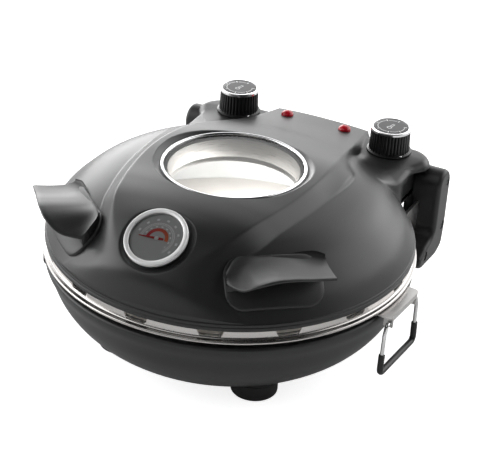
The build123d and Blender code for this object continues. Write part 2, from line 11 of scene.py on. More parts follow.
import bmesh
import bpy
import numpy as np
from mathutils import Matrix, Vector


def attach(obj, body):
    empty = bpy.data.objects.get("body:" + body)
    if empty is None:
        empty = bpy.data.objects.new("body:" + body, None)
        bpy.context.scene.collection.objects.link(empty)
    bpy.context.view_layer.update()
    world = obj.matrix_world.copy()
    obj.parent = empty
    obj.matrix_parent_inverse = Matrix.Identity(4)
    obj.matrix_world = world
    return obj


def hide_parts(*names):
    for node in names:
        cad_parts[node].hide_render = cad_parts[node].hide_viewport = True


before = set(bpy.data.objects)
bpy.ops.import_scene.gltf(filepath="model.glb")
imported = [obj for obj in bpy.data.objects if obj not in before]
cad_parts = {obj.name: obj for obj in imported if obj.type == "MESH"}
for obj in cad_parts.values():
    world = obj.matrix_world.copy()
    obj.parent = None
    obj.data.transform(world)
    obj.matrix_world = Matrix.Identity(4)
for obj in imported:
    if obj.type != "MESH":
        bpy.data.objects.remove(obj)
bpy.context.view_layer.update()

# %% [markdown]
# ## Places shared with the CAD source
#
# The round body's axis is the middle of most pieces, and heights count from the rolled
# bead. `to_frame` turns such millimetres into the frame's metres.

# %% Shared sizes
AXIS_Y = -12.75
BEAD_Z = 99.0
BEAD_R = 178.0
BAND_R = 174.8
BAND_TOP = 9.3
HEM_BOTTOM = 10.8
KNOB_X = 87.0
KNOB_Y = 175.5
LAMP_X = 33.1
LAMP_Y = 183.5
GAUGE_Y = -141.5
GAUGE_Z = 70.5
GAUGE_TILT = radians(31)
WINDOW_SEAT = 80.4
WINDOW_R = 62.5


def to_frame(points):
    """Millimetres about the body's axis to metres in the frame."""
    return (np.asarray(points, float) + (0, AXIS_Y, BEAD_Z)) * 0.001


print("The bead is", 2 * BEAD_R, "mm across and", BEAD_Z, "mm above the floor")


# %% [markdown]
# ## Mesh tools
#
# The cooker's lines are long and smooth, and each is known at a few places only. Bezier
# curves could be drawn by hand. A function through the known places is used, because it
# gives a height for any place and never swings past its ends.

# %% Smooth curves
def smooth_curve(points):
    """A function through a few (x, y) points, with no overshoot at its ends."""
    x, y = np.array(points, float).T
    step = np.diff(x)
    slope = np.diff(y) / step
    tangent = np.concatenate(
        [[slope[0]], (slope[:-1] * step[1:] + slope[1:] * step[:-1]) / (step[:-1] + step[1:]), [slope[-1]]]
    )

    def value(at):
        at = np.clip(at, x[0], x[-1])
        i = np.clip(np.searchsorted(x, at) - 1, 0, len(step) - 1)
        t = (at - x[i]) / step[i]
        h = step[i]
        return (
            (1 + 2 * t) * (1 - t) ** 2 * y[i]
            + t * (1 - t) ** 2 * h * tangent[i]
            + t * t * (3 - 2 * t) * y[i + 1]
            + t * t * (t - 1) * h * tangent[i + 1]
        )

    return value


print("Halfway up a smooth step:", round(float(smooth_curve([(0, 0), (1, 1)])(0.5)), 3))

# %% [markdown]
# A piece starts as points and faces. `mesh_piece` merges doubled points, turns the faces
# outwards and shades the mesh smooth between its sharp edges. Then the piece rides a body
# and hides the CAD solids that it stands for. One function for this keeps the pieces alike.

# %% From points to a piece
def mesh_piece(name, points, faces, body, material, sharp=38, nodes=()):
    """Makes a smooth mesh from frame millimetres, rides it on a body and hides CAD nodes."""
    mesh = bpy.data.meshes.new(name)
    mesh.from_pydata(to_frame(points).tolist(), [], faces)
    work = bmesh.new()
    work.from_mesh(mesh)
    bmesh.ops.remove_doubles(work, verts=work.verts, dist=2e-6)
    bmesh.ops.dissolve_degenerate(work, dist=1e-6, edges=work.edges)
    bmesh.ops.recalc_face_normals(work, faces=work.faces)
    work.to_mesh(mesh)
    work.free()
    for polygon in mesh.polygons:
        polygon.use_smooth = True
    mesh.set_sharp_from_angle(angle=radians(sharp))
    piece = bpy.data.objects.new(name, mesh)
    bpy.context.scene.collection.objects.link(piece)
    mesh.materials.append(material)
    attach(piece, body)
    if nodes:
        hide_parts(*nodes)
    return piece


def grid_faces(rows, columns, around=True, lengthwise=False):
    """Quads of a grid whose points are listed row by row."""
    faces = []
    for i in range(rows if lengthwise else rows - 1):
        k = (i + 1) % rows
        for j in range(columns if around else columns - 1):
            n = (j + 1) % columns
            faces.append((i * columns + j, i * columns + n, k * columns + n, k * columns + j))
    return faces


print("A grid of 2 rows round 8 columns has", len(grid_faces(2, 8)), "faces")

# %% [markdown]
# Much of the cooker is turned: the bowl, the rim, the rings and the knobs are one section
# carried round an axis. A Screw modifier could do that. Rings of points are used, because
# the slots, the flutes and the lid change a ring on its way round.

# %% Turned pieces
def turned_points(profile, segments, centre=(0, 0, 0), tilt=0.0):
    """Rings of points round z for a list of (radius, height), tilted towards the front."""
    turn = np.linspace(0, 2 * pi, segments, endpoint=False)
    profile = np.array(profile, float)
    x = profile[:, :1] * np.sin(turn)
    y = -profile[:, :1] * np.cos(turn)
    z = np.repeat(profile[:, 1:], segments, axis=1)
    y, z = y * cos(tilt) - z * sin(tilt), y * sin(tilt) + z * cos(tilt)
    return np.stack([x, y, z], axis=-1).reshape(-1, 3) + centre


def turned(
    name, profile, body, material, segments=192, centre=(0, 0, 0), tilt=0.0, closed=False, sharp=38,
    nodes=(),
):
    """A turned piece. A closed profile runs round a ring's section."""
    points = turned_points(profile, segments, centre, tilt)
    faces = grid_faces(len(profile), segments, lengthwise=closed)
    return mesh_piece(name, points, faces, body, material, sharp, nodes)


def arc(centre, radius, start, end, count=6):
    """Points of a profile's arc, in degrees."""
    return [
        (centre[0] + radius * cos(radians(a)), centre[1] + radius * sin(radians(a)))
        for a in np.linspace(start, end, count)
    ]


# %% [markdown]
# The bails are bent wire, and the arms, pads and pods have rounded outlines. Bevelling
# would round such corners after the mesh is made. Here the path is rounded first, so the
# same few lines serve wires and outlines.

# %% Paths and tubes
def rounded_path(points, radii, closed=False, count=8):
    """A polyline whose inner corners are replaced by arcs of the given radii."""
    points = [np.array(p, float) for p in points]
    if np.isscalar(radii):
        radii = [radii] * len(points)
    path = []
    for i, point in enumerate(points):
        ends = not closed and i in (0, len(points) - 1)
        if ends or radii[i] <= 0:
            path.append(point)
            continue
        back = points[i - 1] - point
        ahead = points[(i + 1) % len(points)] - point
        back = back / np.linalg.norm(back)
        ahead = ahead / np.linalg.norm(ahead)
        half = np.arccos(np.clip(back @ ahead, -1, 1)) / 2
        radius = radii[i]
        cut = radius / np.tan(half)
        middle = back + ahead
        if np.linalg.norm(middle) < 1e-6:
            path.append(point)
            continue
        centre = point + middle / np.linalg.norm(middle) * radius / np.sin(half)
        first = point + back * cut - centre
        last = point + ahead * cut - centre
        spread = np.arccos(np.clip(first @ last / radius**2, -1, 1))
        for t in np.linspace(0, 1, count):
            path.append(
                centre + (first * np.sin((1 - t) * spread) + last * np.sin(t * spread)) / np.sin(spread)
            )
    return np.array(path)


def tube_points(path, radius, segments=20):
    """Rings round a path, each square to it, with no twist between them."""
    path = np.array(path, float)
    along = np.gradient(path, axis=0)
    along /= np.linalg.norm(along, axis=1)[:, None]
    side = np.cross(along[0], (0, 0, 1))
    if np.linalg.norm(side) < 0.1:
        side = np.cross(along[0], (1, 0, 0))
    rings = []
    turn = np.linspace(0, 2 * pi, segments, endpoint=False)
    for point, direction in zip(path, along):
        side = side - direction * (side @ direction)
        side /= np.linalg.norm(side)
        up = np.cross(direction, side)
        rings.append(point + radius * (np.cos(turn)[:, None] * side + np.sin(turn)[:, None] * up))
    return np.concatenate(rings)


def tube(name, path, radius, body, material, segments=20, nodes=()):
    """A round bar or wire with flat ends."""
    points = tube_points(path, radius, segments)
    rows = len(path)
    faces = grid_faces(rows, segments)
    faces.append(tuple(range(segments)))
    faces.append(tuple((rows - 1) * segments + j for j in range(segments)))
    return mesh_piece(name, points, faces, body, material, 50, nodes)


square = rounded_path([(0, 0), (9, 0), (9, 9), (0, 9)], 2, closed=True)
print("A square with rounded corners has", len(square), "points")

# %% [markdown]
# ## Materials
#
# Materials are made of nodes. These helpers add a node, do sums with sockets, mix colours
# and build a group with named sockets. Writing them once keeps the finishes below short.
# The shader itself always stays in the material.

# %% Node helpers
def add(tree, kind, **settings):
    """Adds a node and sets its options."""
    node = tree.nodes.new("ShaderNode" + kind)
    for key, value in settings.items():
        setattr(node, key, value)
    return node


def calc(tree, operation, first, second=0.0, third=None):
    """A Math node. Sockets are linked and numbers are set."""
    node = add(tree, "Math", operation=operation)
    for socket, value in zip(node.inputs, (first, second, third)):
        if value is None:
            continue
        if hasattr(value, "links"):
            tree.links.new(value, socket)
        else:
            socket.default_value = value
    return node.outputs[0]


def mix_colour(tree, mask, first, second):
    """The first colour where the mask is 0 and the second where it is 1."""
    node = add(tree, "Mix", data_type="RGBA")
    for socket, value in ((node.inputs[0], mask), (node.inputs[6], first), (node.inputs[7], second)):
        if hasattr(value, "links"):
            tree.links.new(value, socket)
        elif hasattr(value, "__len__"):
            socket.default_value = (*value, 1.0)
        else:
            socket.default_value = value
    return node.outputs[2]


def new_group(name, inputs, outputs):
    """A node group with named sockets: inputs are (name, type, default)."""
    tree = bpy.data.node_groups.new(name, "ShaderNodeTree")
    for label, kind, value in inputs:
        socket = tree.interface.new_socket(label, in_out="INPUT", socket_type="NodeSocket" + kind)
        if value is not None:
            socket.default_value = value
    for label, kind in outputs:
        tree.interface.new_socket(label, in_out="OUTPUT", socket_type="NodeSocket" + kind)
    return tree, tree.nodes.new("NodeGroupInput"), tree.nodes.new("NodeGroupOutput")


def new_material(name, colour=(0.02, 0.02, 0.02), rough=0.4, metal=0.0):
    """A material with its Principled shader set to plain values."""
    material = bpy.data.materials.new(name)
    material.use_nodes = True
    tree = material.node_tree
    shader = tree.nodes["Principled BSDF"]
    shader.inputs["Base Color"].default_value = (*colour, 1.0)
    shader.inputs["Roughness"].default_value = rough
    shader.inputs["Metallic"].default_value = metal
    material.diffuse_color = (*colour, 1.0)
    return material, tree, shader


def use_group(tree, group, **values):
    """Places a group. Underscores in the keys stand for spaces in the sockets' names."""
    node = add(tree, "Group", node_tree=group)
    for key, value in values.items():
        socket = node.inputs[key.replace("_", " ")]
        if hasattr(value, "links"):
            tree.links.new(value, socket)
        elif hasattr(value, "__len__") and len(value) == 3 and socket.type == "RGBA":
            socket.default_value = (*value, 1.0)
        else:
            socket.default_value = value
    return node


print("Node helpers are ready")

# %% [markdown]
# Moulded plastic and sprayed paint have a fine grain and are not equally glossy all over.
# An image could show that. Two noise patterns are used, one fine for the bump and one broad
# for the gloss, because they have no seams and suit every piece.

# %% Effect: moulded or painted grain
grain, grain_in, grain_out = new_group(
    "Fine grain",
    [
        ("Colour", "Color", (0.02, 0.02, 0.02, 1)),
        ("Grain per metre", "Float", 900.0),
        ("Depth", "Float", 0.15),
        ("Roughness", "Float", 0.4),
        ("Wear", "Float", 0.06),
    ],
    [("Colour", "Color"), ("Roughness", "Float"), ("Normal", "Vector")],
)
place = add(grain, "TexCoord")
fine = add(grain, "TexNoise")
fine.inputs["Detail"].default_value = 3.0
grain.links.new(place.outputs["Object"], fine.inputs["Vector"])
grain.links.new(grain_in.outputs["Grain per metre"], fine.inputs["Scale"])
broad = add(grain, "TexNoise")
broad.inputs["Scale"].default_value = 14.0
broad.inputs["Detail"].default_value = 5.0
grain.links.new(place.outputs["Object"], broad.inputs["Vector"])
bump = add(grain, "Bump")
bump.inputs["Distance"].default_value = 0.0002
grain.links.new(grain_in.outputs["Depth"], bump.inputs["Strength"])
grain.links.new(fine.outputs["Fac"], bump.inputs["Height"])
grain.links.new(bump.outputs["Normal"], grain_out.inputs["Normal"])
spread = calc(grain, "SUBTRACT", broad.outputs["Fac"], 0.5)
spread = calc(grain, "MULTIPLY", spread, grain_in.outputs["Wear"])
grain.links.new(calc(grain, "ADD", spread, grain_in.outputs["Roughness"]), grain_out.inputs["Roughness"])
lighter = add(grain, "Mix", data_type="RGBA", blend_type="MULTIPLY")
lighter.inputs[0].default_value = 1.0
tone = calc(grain, "MULTIPLY_ADD", broad.outputs["Fac"], 0.5, 0.75)
grain.links.new(grain_in.outputs["Colour"], lighter.inputs[6])
grain.links.new(tone, lighter.inputs[7])
grain.links.new(lighter.outputs[2], grain_out.inputs["Colour"])


def grained(name, colour, rough, depth=0.15, scale=900.0, wear=0.06, metal=0.0):
    """A black or coloured surface with fine grain and slightly uneven gloss."""
    material, tree, shader = new_material(name, colour, rough, metal)
    effect = use_group(
        tree, grain, Colour=colour, Grain_per_metre=scale, Depth=depth, Roughness=rough, Wear=wear,
    )
    tree.links.new(effect.outputs["Colour"], shader.inputs["Base Color"])
    tree.links.new(effect.outputs["Roughness"], shader.inputs["Roughness"])
    tree.links.new(effect.outputs["Normal"], shader.inputs["Normal"])
    return material


print("Fine grain gives", [socket.name for socket in grain_out.inputs if socket.name])

# %% [markdown]
# Steel that was spun or brushed round an axis has fine lines along the turn. Anisotropic
# gloss would hint at them. Here noise over height and distance from the axis, hardly
# changing with the angle, draws them, so that they follow the turn on every piece.

# %% Effect: lines round an axis
brushed, brushed_in, brushed_out = new_group(
    "Brushed round",
    [
        ("Colour", "Color", (0.7, 0.69, 0.67, 1)), ("Lines per metre", "Float", 2500.0),
        ("Depth", "Float", 0.2), ("Roughness", "Float", 0.25),
    ],
    [("Colour", "Color"), ("Roughness", "Float"), ("Normal", "Vector")],
)
place = add(brushed, "TexCoord")
parts = add(brushed, "SeparateXYZ")
brushed.links.new(place.outputs["Object"], parts.inputs[0])
square = calc(brushed, "MULTIPLY", parts.outputs["X"], parts.outputs["X"])
shifted = calc(brushed, "SUBTRACT", parts.outputs["Y"], AXIS_Y * 0.001)
square = calc(brushed, "MULTIPLY_ADD", shifted, shifted, square)
reach = calc(brushed, "SQRT", square)
turn = calc(brushed, "ARCTAN2", parts.outputs["X"], shifted)
lines = add(brushed, "CombineXYZ")
brushed.links.new(reach, lines.inputs[0])
brushed.links.new(parts.outputs["Z"], lines.inputs[1])
brushed.links.new(calc(brushed, "MULTIPLY", turn, 0.002), lines.inputs[2])
streak = add(brushed, "TexNoise")
streak.inputs["Detail"].default_value = 4.0
brushed.links.new(lines.outputs[0], streak.inputs["Vector"])
brushed.links.new(brushed_in.outputs["Lines per metre"], streak.inputs["Scale"])
bump = add(brushed, "Bump")
bump.inputs["Distance"].default_value = 0.0001
brushed.links.new(brushed_in.outputs["Depth"], bump.inputs["Strength"])
brushed.links.new(streak.outputs["Fac"], bump.inputs["Height"])
brushed.links.new(bump.outputs["Normal"], brushed_out.inputs["Normal"])
uneven = calc(brushed, "MULTIPLY_ADD", streak.outputs["Fac"], 0.16, -0.08)
brushed.links.new(
    calc(brushed, "ADD", uneven, brushed_in.outputs["Roughness"]), brushed_out.inputs["Roughness"],
)
shade = add(brushed, "Mix", data_type="RGBA", blend_type="MULTIPLY")
shade.inputs[0].default_value = 1.0
brushed.links.new(brushed_in.outputs["Colour"], shade.inputs[6])
brushed.links.new(calc(brushed, "MULTIPLY_ADD", streak.outputs["Fac"], 0.3, 0.8), shade.inputs[7])
brushed.links.new(shade.outputs[2], brushed_out.inputs["Colour"])


def brushed_metal(name, colour, rough, depth=0.2, scale=2500.0):
    """Metal with fine lines round the body's axis."""
    material, tree, shader = new_material(name, colour, rough, 1.0)
    effect = use_group(tree, brushed, Colour=colour, Lines_per_metre=scale, Depth=depth, Roughness=rough)
    tree.links.new(effect.outputs["Colour"], shader.inputs["Base Color"])
    tree.links.new(effect.outputs["Roughness"], shader.inputs["Roughness"])
    tree.links.new(effect.outputs["Normal"], shader.inputs["Normal"])
    return material


print("Brushed round gives", [socket.name for socket in brushed_out.inputs if socket.name])

# %% [markdown]
# Now each finish is one line. Lid and bowl are satin black, the arms and grips are a bit
# coarser, and the rim's steel is duller than the chrome of the rings. The gauge's ring is a
# near-white, mostly non-metal finish: a painted sheen for a chrome ring's bright reflection.
# Most of what one sees of a black surface is the light that it mirrors, so the roughness
# matters more than the colour.

# %% The finishes
lid_black = grained("lid_black", (0.021, 0.021, 0.022), 0.36, 0.10, 1400.0)
bowl_black = grained("bowl_black", (0.021, 0.021, 0.022), 0.38, 0.10, 1200.0)
arm_black = grained("arm_black", (0.022, 0.022, 0.023), 0.42, 0.22, 1600.0)
grip_black = grained("grip_black", (0.024, 0.024, 0.025), 0.40, 0.18, 1600.0)
knob_black = grained("knob_black", (0.010, 0.010, 0.011), 0.30, 0.05, 900.0)
rubber_black = grained("rubber_black", (0.018, 0.018, 0.018), 0.62, 0.3, 1500.0)
sleeve_black = grained("sleeve_black", (0.012, 0.012, 0.013), 0.34, 0.12, 1200.0)
screw_dark = grained("screw_dark", (0.09, 0.09, 0.092), 0.35, 0.2, 2500.0, metal=1.0)
chrome = grained("chrome", (0.86, 0.86, 0.87), 0.09, 0.02, 600.0, 0.05, 1.0)
# near-white and mostly non-metal: a painted sheen that stands in for the chrome ring's bright reflection
bezel_painted_sheen = grained("bezel_painted_sheen", (0.95, 0.95, 0.95), 0.24, 0.03, 700.0, 0.05, 0.2)
wire_chrome = grained("wire_chrome", (0.83, 0.83, 0.83), 0.14, 0.05, 600.0, 0.08, 1.0)
sheet_steel = grained("sheet_steel", (0.66, 0.65, 0.64), 0.36, 0.10, 700.0, 0.10, 1.0)
pin_steel = grained("pin_steel", (0.6, 0.6, 0.6), 0.25, 0.1, 1500.0, 0.08, 1.0)
heater_steel = grained("heater_steel", (0.30, 0.27, 0.24), 0.42, 0.2, 900.0, 0.12, 1.0)
mechanism_grey = grained("mechanism_grey", (0.2, 0.2, 0.21), 0.5, 0.2)
lamp_red = grained("lamp_red", (0.55, 0.006, 0.02), 0.18, 0.05, 700.0, 0.04)
needle_red = grained("needle_red", (0.55, 0.02, 0.02), 0.4, 0.05)
hub_white = grained("hub_white", (0.85, 0.85, 0.85), 0.3, 0.05)
cup_grey = brushed_metal("cup_grey", (0.35, 0.35, 0.36), 0.35, 0.1)
rim_steel = brushed_metal("rim_steel", (0.62, 0.60, 0.585), 0.22, 0.04, 900.0)
liner_steel = brushed_metal("liner_steel", (0.76, 0.76, 0.76), 0.30, 0.12, 1200.0)
dish_steel = brushed_metal("dish_steel", (0.66, 0.66, 0.66), 0.34, 0.12, 1200.0)
# dark finish for the band and ledge behind the slots: painted shade seen through the slots
slot_shade_paint = grained("slot_shade_paint", (0.05, 0.05, 0.05), 0.5, 0.1, 900.0, 0.08)
pan_pale = grained("pan_pale", (0.78, 0.78, 0.77), 0.45, 0.08, 900.0, 0.08)
stone_clay = grained("stone_clay", (0.76, 0.73, 0.69), 0.85, 0.6, 700.0, 0.1)
print(len(bpy.data.materials), "finishes so far")

# %% [markdown]
# The window and the gauge's lens are thin panes. Solid glass would bend the view, so a pane
# is a clear layer under a mirror that grows with the angle. A faint smear makes the mirror
# uneven.

# %% Glass
def clear_glass(name, tint=(0.97, 0.98, 0.98)):
    """Thin clear glass: a tinted see-through layer under a mirror by angle."""
    material = bpy.data.materials.new(name)
    material.use_nodes = True
    tree = material.node_tree
    tree.nodes.clear()
    out = add(tree, "OutputMaterial")
    through = add(tree, "BsdfTransparent")
    through.inputs["Color"].default_value = (*tint, 1)
    gloss = add(tree, "BsdfGlossy")
    angle = add(tree, "Fresnel")
    angle.inputs["IOR"].default_value = 1.5
    smear = add(tree, "TexNoise")
    smear.inputs["Scale"].default_value = 30.0
    smear.inputs["Detail"].default_value = 4.0
    place = add(tree, "TexCoord")
    tree.links.new(place.outputs["Object"], smear.inputs["Vector"])
    tree.links.new(calc(tree, "MULTIPLY_ADD", smear.outputs["Fac"], 0.05, 0.0), gloss.inputs["Roughness"])
    both = add(tree, "MixShader")
    tree.links.new(angle.outputs[0], both.inputs[0])
    tree.links.new(through.outputs[0], both.inputs[1])
    tree.links.new(gloss.outputs[0], both.inputs[2])
    tree.links.new(both.outputs[0], out.inputs["Surface"])
    return material


window_clear = clear_glass("window_clear")
lens_clear = clear_glass("lens_clear")

# %% [markdown]
# ## The lid
#
# The lid is one moulding: a dome, a raised tongue that slopes to the gauge, and two low
# pods that carry the knobs. It could be sculpted or joined from pieces. Here each form is a
# height over the plan, so forms can be blended by taking a soft maximum of two heights.
# First come the lines: the dome's and nose's sections, and stations along the tongue.

# %% Lid: lines
dome_height = smooth_curve(
    [
        (0, 76), (60, 75.4), (100, 72.4), (124, 66.2), (142, 56.8), (155, 45.6), (167.5, 32),
        (175.4, 17.4), (240, -160),
    ]
)
nose_height = smooth_curve(
    [(0, 115), (110, 97), (140, 80.5), (155, 69.5), (165, 56), (171, 41), (175.6, 17.4), (240, -160)]
)
# y, height in the middle, then x and z of the crown's edge and of the bevel's foot
STATIONS = [
    (-186, 43.0, 26.0, 38.0, 36.0, 31.0),
    (-165, 56.5, 32.0, 50.5, 43.0, 43.5),
    (-145, 69.0, 44.0, 61.5, 55.0, 51.5),
    (-125, 79.2, 55.8, 71.4, 66.6, 59.0),
    (-104, 84.0, 65.5, 78.4, 77.7, 65.8),
    (-75.5, 86.6, 73.7, 82.0, 86.5, 69.8),
    (-51, 86.9, 79.0, 83.0, 92.2, 71.6),
    (0, 87.0, 84.0, 84.4, 99.0, 72.4),
    (53, 83.5, 79.3, 81.2, 97.0, 73.2),
    (98, 74.0, 70.0, 70.6, 86.0, 58.6),
    (132, 64.5, 63.1, 61.7, 72.1, 47.7),
    (165, 57.3, 57.8, 55.0, 64.8, 45.0),
    (205, 51.0, 51.5, 49.2, 57.5, 40.2),
]
station_curves = [smooth_curve([(row[0], row[k]) for row in STATIONS]) for k in range(1, 6)]
POD_TOP = 48.5
PANEL_REAR = 205.0
REAR_ROUND = 3.0
FLANK_PLACES = [-150, -120, 30, 60, 110]
FLANK_SLOPES = [0.9, 1.8, 1.8, 1.2, 5.5]

print(len(STATIONS), "stations from y", STATIONS[0][0], "to", STATIONS[-1][0])

# %% [markdown]
# A plain maximum of two heights leaves a crease. A soft one rounds it over a chosen width,
# as the mould's fillets do.

# %% Lid: soft unions
def soft_max(a, b, width):
    """The larger of two heights, rounded where they cross."""
    h = np.maximum(width - np.abs(a - b), 0) / width
    return np.maximum(a, b) + h * h * width / 4


def soft_min(a, b, width):
    """The smaller of two heights, rounded where they cross."""
    return -soft_max(-a, -b, width)


print("Two equal heights join", round(float(soft_max(0.0, 0.0, 8.0)), 1), "mm higher")

# %% [markdown]
# Seen from above, the pods run from the panel's rear edge round the knobs and fade into the
# dome. Their plan is an outline with rounded corners. The depth inside it shapes the edge.

# %% Lid: plan of the pods
pod_corners = [
    (0, 205, 0), (12, 205, 0), (24, 205, 0), (36, 205, 0), (51.5, 205, 4), (54.5, 199, 5),
    (132, 199, 25), (132, 169, 10), (122, 154, 14), (122, 122, 25), (96, 72, 0),
]
right_half = rounded_path([c[:2] for c in pod_corners], [c[2] for c in pod_corners], count=10)
pod_plan = np.concatenate([right_half, (right_half * (-1, 1))[::-1]])


def pod_depth(x, y):
    """How far a point lies inside the pods' plan outline. Outside it is below zero."""
    start = pod_plan
    step = np.roll(pod_plan, -1, axis=0) - pod_plan
    size = np.maximum((step**2).sum(axis=1), 1e-9)
    best = np.full(x.shape, 1e9)
    inside = np.zeros(x.shape, bool)
    for (ax, ay), (dx, dy), length in zip(start, step, size):
        t = np.clip(((x - ax) * dx + (y - ay) * dy) / length, 0, 1)
        best = np.minimum(best, (x - ax - t * dx) ** 2 + (y - ay - t * dy) ** 2)
        crosses = ((ay > y) != (ay + dy > y)) & (x < ax + dx * (y - ay) / (dy if abs(dy) > 1e-9 else 1e-9))
        inside ^= crosses
    return np.where(inside, np.sqrt(best), -np.sqrt(best))


knob_depth = pod_depth(np.array([KNOB_X]), np.array([KNOB_Y]))[0]
print("A knob's axis lies", round(float(knob_depth), 1), "mm inside the plan")

# %% [markdown]
# The tongue has an arched crown, a flat bevel on each side and a short flank down to the
# dome. The pods are almost flat and end in a rounded edge and a wall. The unions are wide
# where the real mould flows, such as the nose, and narrow where it is crisp.

# %% Lid: heights
POD_BLEND = 16.0
NOSE_BLEND = 14.0
CRISP = 1.2
POD_WALL_SLOPE = 8.0
DISH_FOOT = 70.0
DISH_EDGE = 76.0
DISH_SLOPE = 0.78


def tongue_height(x, y):
    """The raised middle: a gently arched crown, a bevel with crisp edges and a flank."""
    middle, half, rim, foot, low = (curve(y) for curve in station_curves)
    out = np.abs(x)
    crown = middle - (middle - rim) * (out / half) ** 2
    bevel = rim - (out - half) * (rim - low) / (foot - half)
    flank = low - (out - foot) * np.interp(y, FLANK_PLACES, FLANK_SLOPES)
    height = soft_min(crown, bevel, np.interp(y, [-165, -110], [6.0, 0.9]))
    height = soft_min(height, flank, CRISP)
    past = np.clip(y - PANEL_REAR + REAR_ROUND, 0, REAR_ROUND)
    return height - REAR_ROUND + np.sqrt(REAR_ROUND**2 - past**2)


def pod_height(x, y):
    """The flat round the knobs. It sinks towards its waist and ends in a rounded edge and a wall."""
    depth = pod_depth(x, y)
    edge = np.interp(y, [130, 160, 185], [5.0, 6.0, 10.0])
    near = np.clip(edge - depth, 0, edge)
    sunk = np.interp(y, [125, 175], [6.0, 1.0]) * np.clip(1 - depth / 36, 0, 1) ** 2
    return POD_TOP - sunk - edge + np.sqrt(edge**2 - near**2) + POD_WALL_SLOPE * np.minimum(depth, 0)


def lid_height(x, y):
    """Height of the lid's black surface over a point of the plan."""
    reach = np.hypot(x, y)
    height = soft_max(dome_height(reach), pod_height(x, y), POD_BLEND)
    tongue = tongue_height(x, y)
    front = np.where(y < 0, nose_height(reach), 200.0)
    tongue = soft_min(tongue, front, NOSE_BLEND)
    height = soft_max(height, tongue, np.interp(y, [-170, -135, -100], [16.0, 6.0, CRISP]))
    rise = np.clip(reach - DISH_FOOT, 0, None) * DISH_SLOPE
    dish = WINDOW_SEAT + rise + np.where(reach > DISH_EDGE, 60.0, 0)
    height = soft_min(height, dish, CRISP)
    return press_gauge(x, y, height)


def press_gauge(x, y, height):
    """Presses the gauge's tilted recess into the surface."""
    s = sin(GAUGE_TILT)
    c = cos(GAUGE_TILT)
    depth = np.full(x.shape, -6.0)
    for _ in range(12):
        along = (y - GAUGE_Y + depth * s) / c
        reach = np.hypot(x, along)
        target = np.interp(reach, [0, 30.4, 33.8, 37.6, 41, 60], [-6, -6, -3.6, 0, 3.4, 40])
        depth = 0.5 * depth + 0.5 * target
    along = (y - GAUGE_Y + depth * s) / c
    floor = GAUGE_Z + along * s + depth * c
    return soft_min(height, floor, 1.6)


behind = lid_height(np.zeros(1), np.full(1, 90.0))[0]
print("Behind the window the lid is", round(float(behind), 1), "mm above the bead")

# %% [markdown]
# The height becomes a mesh. A square grid would cut the round edges into steps, so the
# mesh runs in rings from the window's seat to the plan's outline. The rings stand closer
# near the outline, where the edge is rounded.

# %% Lid: rings over the top
TURNS = 1080
RIM_R = 175.4
DISH_R = 69.0
LEDGE_R = 66.6
LEDGE_Z = 77.4
LID_BOTTOM = 74.4
turn = np.linspace(0, 2 * pi, TURNS, endpoint=False)
plan_turn = np.arctan2(right_half[:, 0], -right_half[:, 1])
plan_reach = np.hypot(right_half[:, 0], right_half[:, 1])
order = np.argsort(plan_turn)
from_front = np.abs(np.where(turn > pi, turn - 2 * pi, turn))
pod_reach = np.interp(from_front, plan_turn[order], plan_reach[order], left=0)
outline = soft_max(np.where(from_front < plan_turn.min(), 0, pod_reach), np.full(TURNS, RIM_R), 2.0)
on_rim = np.clip(RIM_R + 1.2 - outline, 0, 1)
side_x = np.sin(turn)
side_y = -np.cos(turn)
near_edge = 0.90 + 0.10 * np.sin(np.linspace(0, pi / 2, 34)[1:])
shares = np.concatenate([np.linspace(0, 0.90, 96), near_edge])
rows = []
seat = ((WINDOW_R, LID_BOTTOM), (WINDOW_R, LEDGE_Z), (LEDGE_R, LEDGE_Z), (LEDGE_R, WINDOW_SEAT))
for reach, height in seat:
    rows.append(np.stack([side_x * reach, side_y * reach, np.full(TURNS, height)], axis=-1))
for share in shares:
    reach = DISH_R + (outline - DISH_R) * share
    x = side_x * reach
    y = side_y * reach
    rows.append(np.stack([x, y, lid_height(x, y)], axis=-1))
edge = rows[-1]

print(len(rows), "rings of", TURNS, "points")

# %% [markdown]
# Below the outline the wall drops to a hem, which folds out in small steps and has a
# thickness. The wall beside the arms stands further in, so that the lid can swing past
# them. The holes for spindles and lamps are left open under the knobs and lamps.

# %% Lid: wall, hem and holes
POCKET_FRONT = 132.0
POCKET_SIDE = 118.5
WALL_TOP = 17.4
EAR_BOTTOM = 40.0
HEM_THICK = 2.0
KNOB_HOLE = 6.0
LAMP_HOLE = 5.0


def skirt(out, height, inner=0.0, pocket=False):
    """A ring of the wall below the outline, optionally kept clear of the arms."""
    reach = outline + out * on_rim - inner
    x = side_x * reach
    y = side_y * reach
    if pocket:
        beside = (y > POCKET_FRONT) & (np.abs(x) > POCKET_SIDE)
        shorter = POCKET_SIDE / np.maximum(np.abs(side_x), 1e-6)
        y = np.where(beside, np.clip(np.abs(side_y) * shorter, POCKET_FRONT, y), y)
        x = np.where(beside, np.sign(x) * POCKET_SIDE, x)
    return np.stack([x, y, np.full(TURNS, height) if np.isscalar(height) else height], axis=-1)


drop = np.minimum(edge[:, 2], WALL_TOP)
ear = np.where(on_rim > 0.5, drop, np.minimum(edge[:, 2], EAR_BOTTOM))
rows.append(skirt(0, ear))
rows.append(skirt(0, ear, pocket=True))
rows.append(skirt(0, drop, pocket=True))
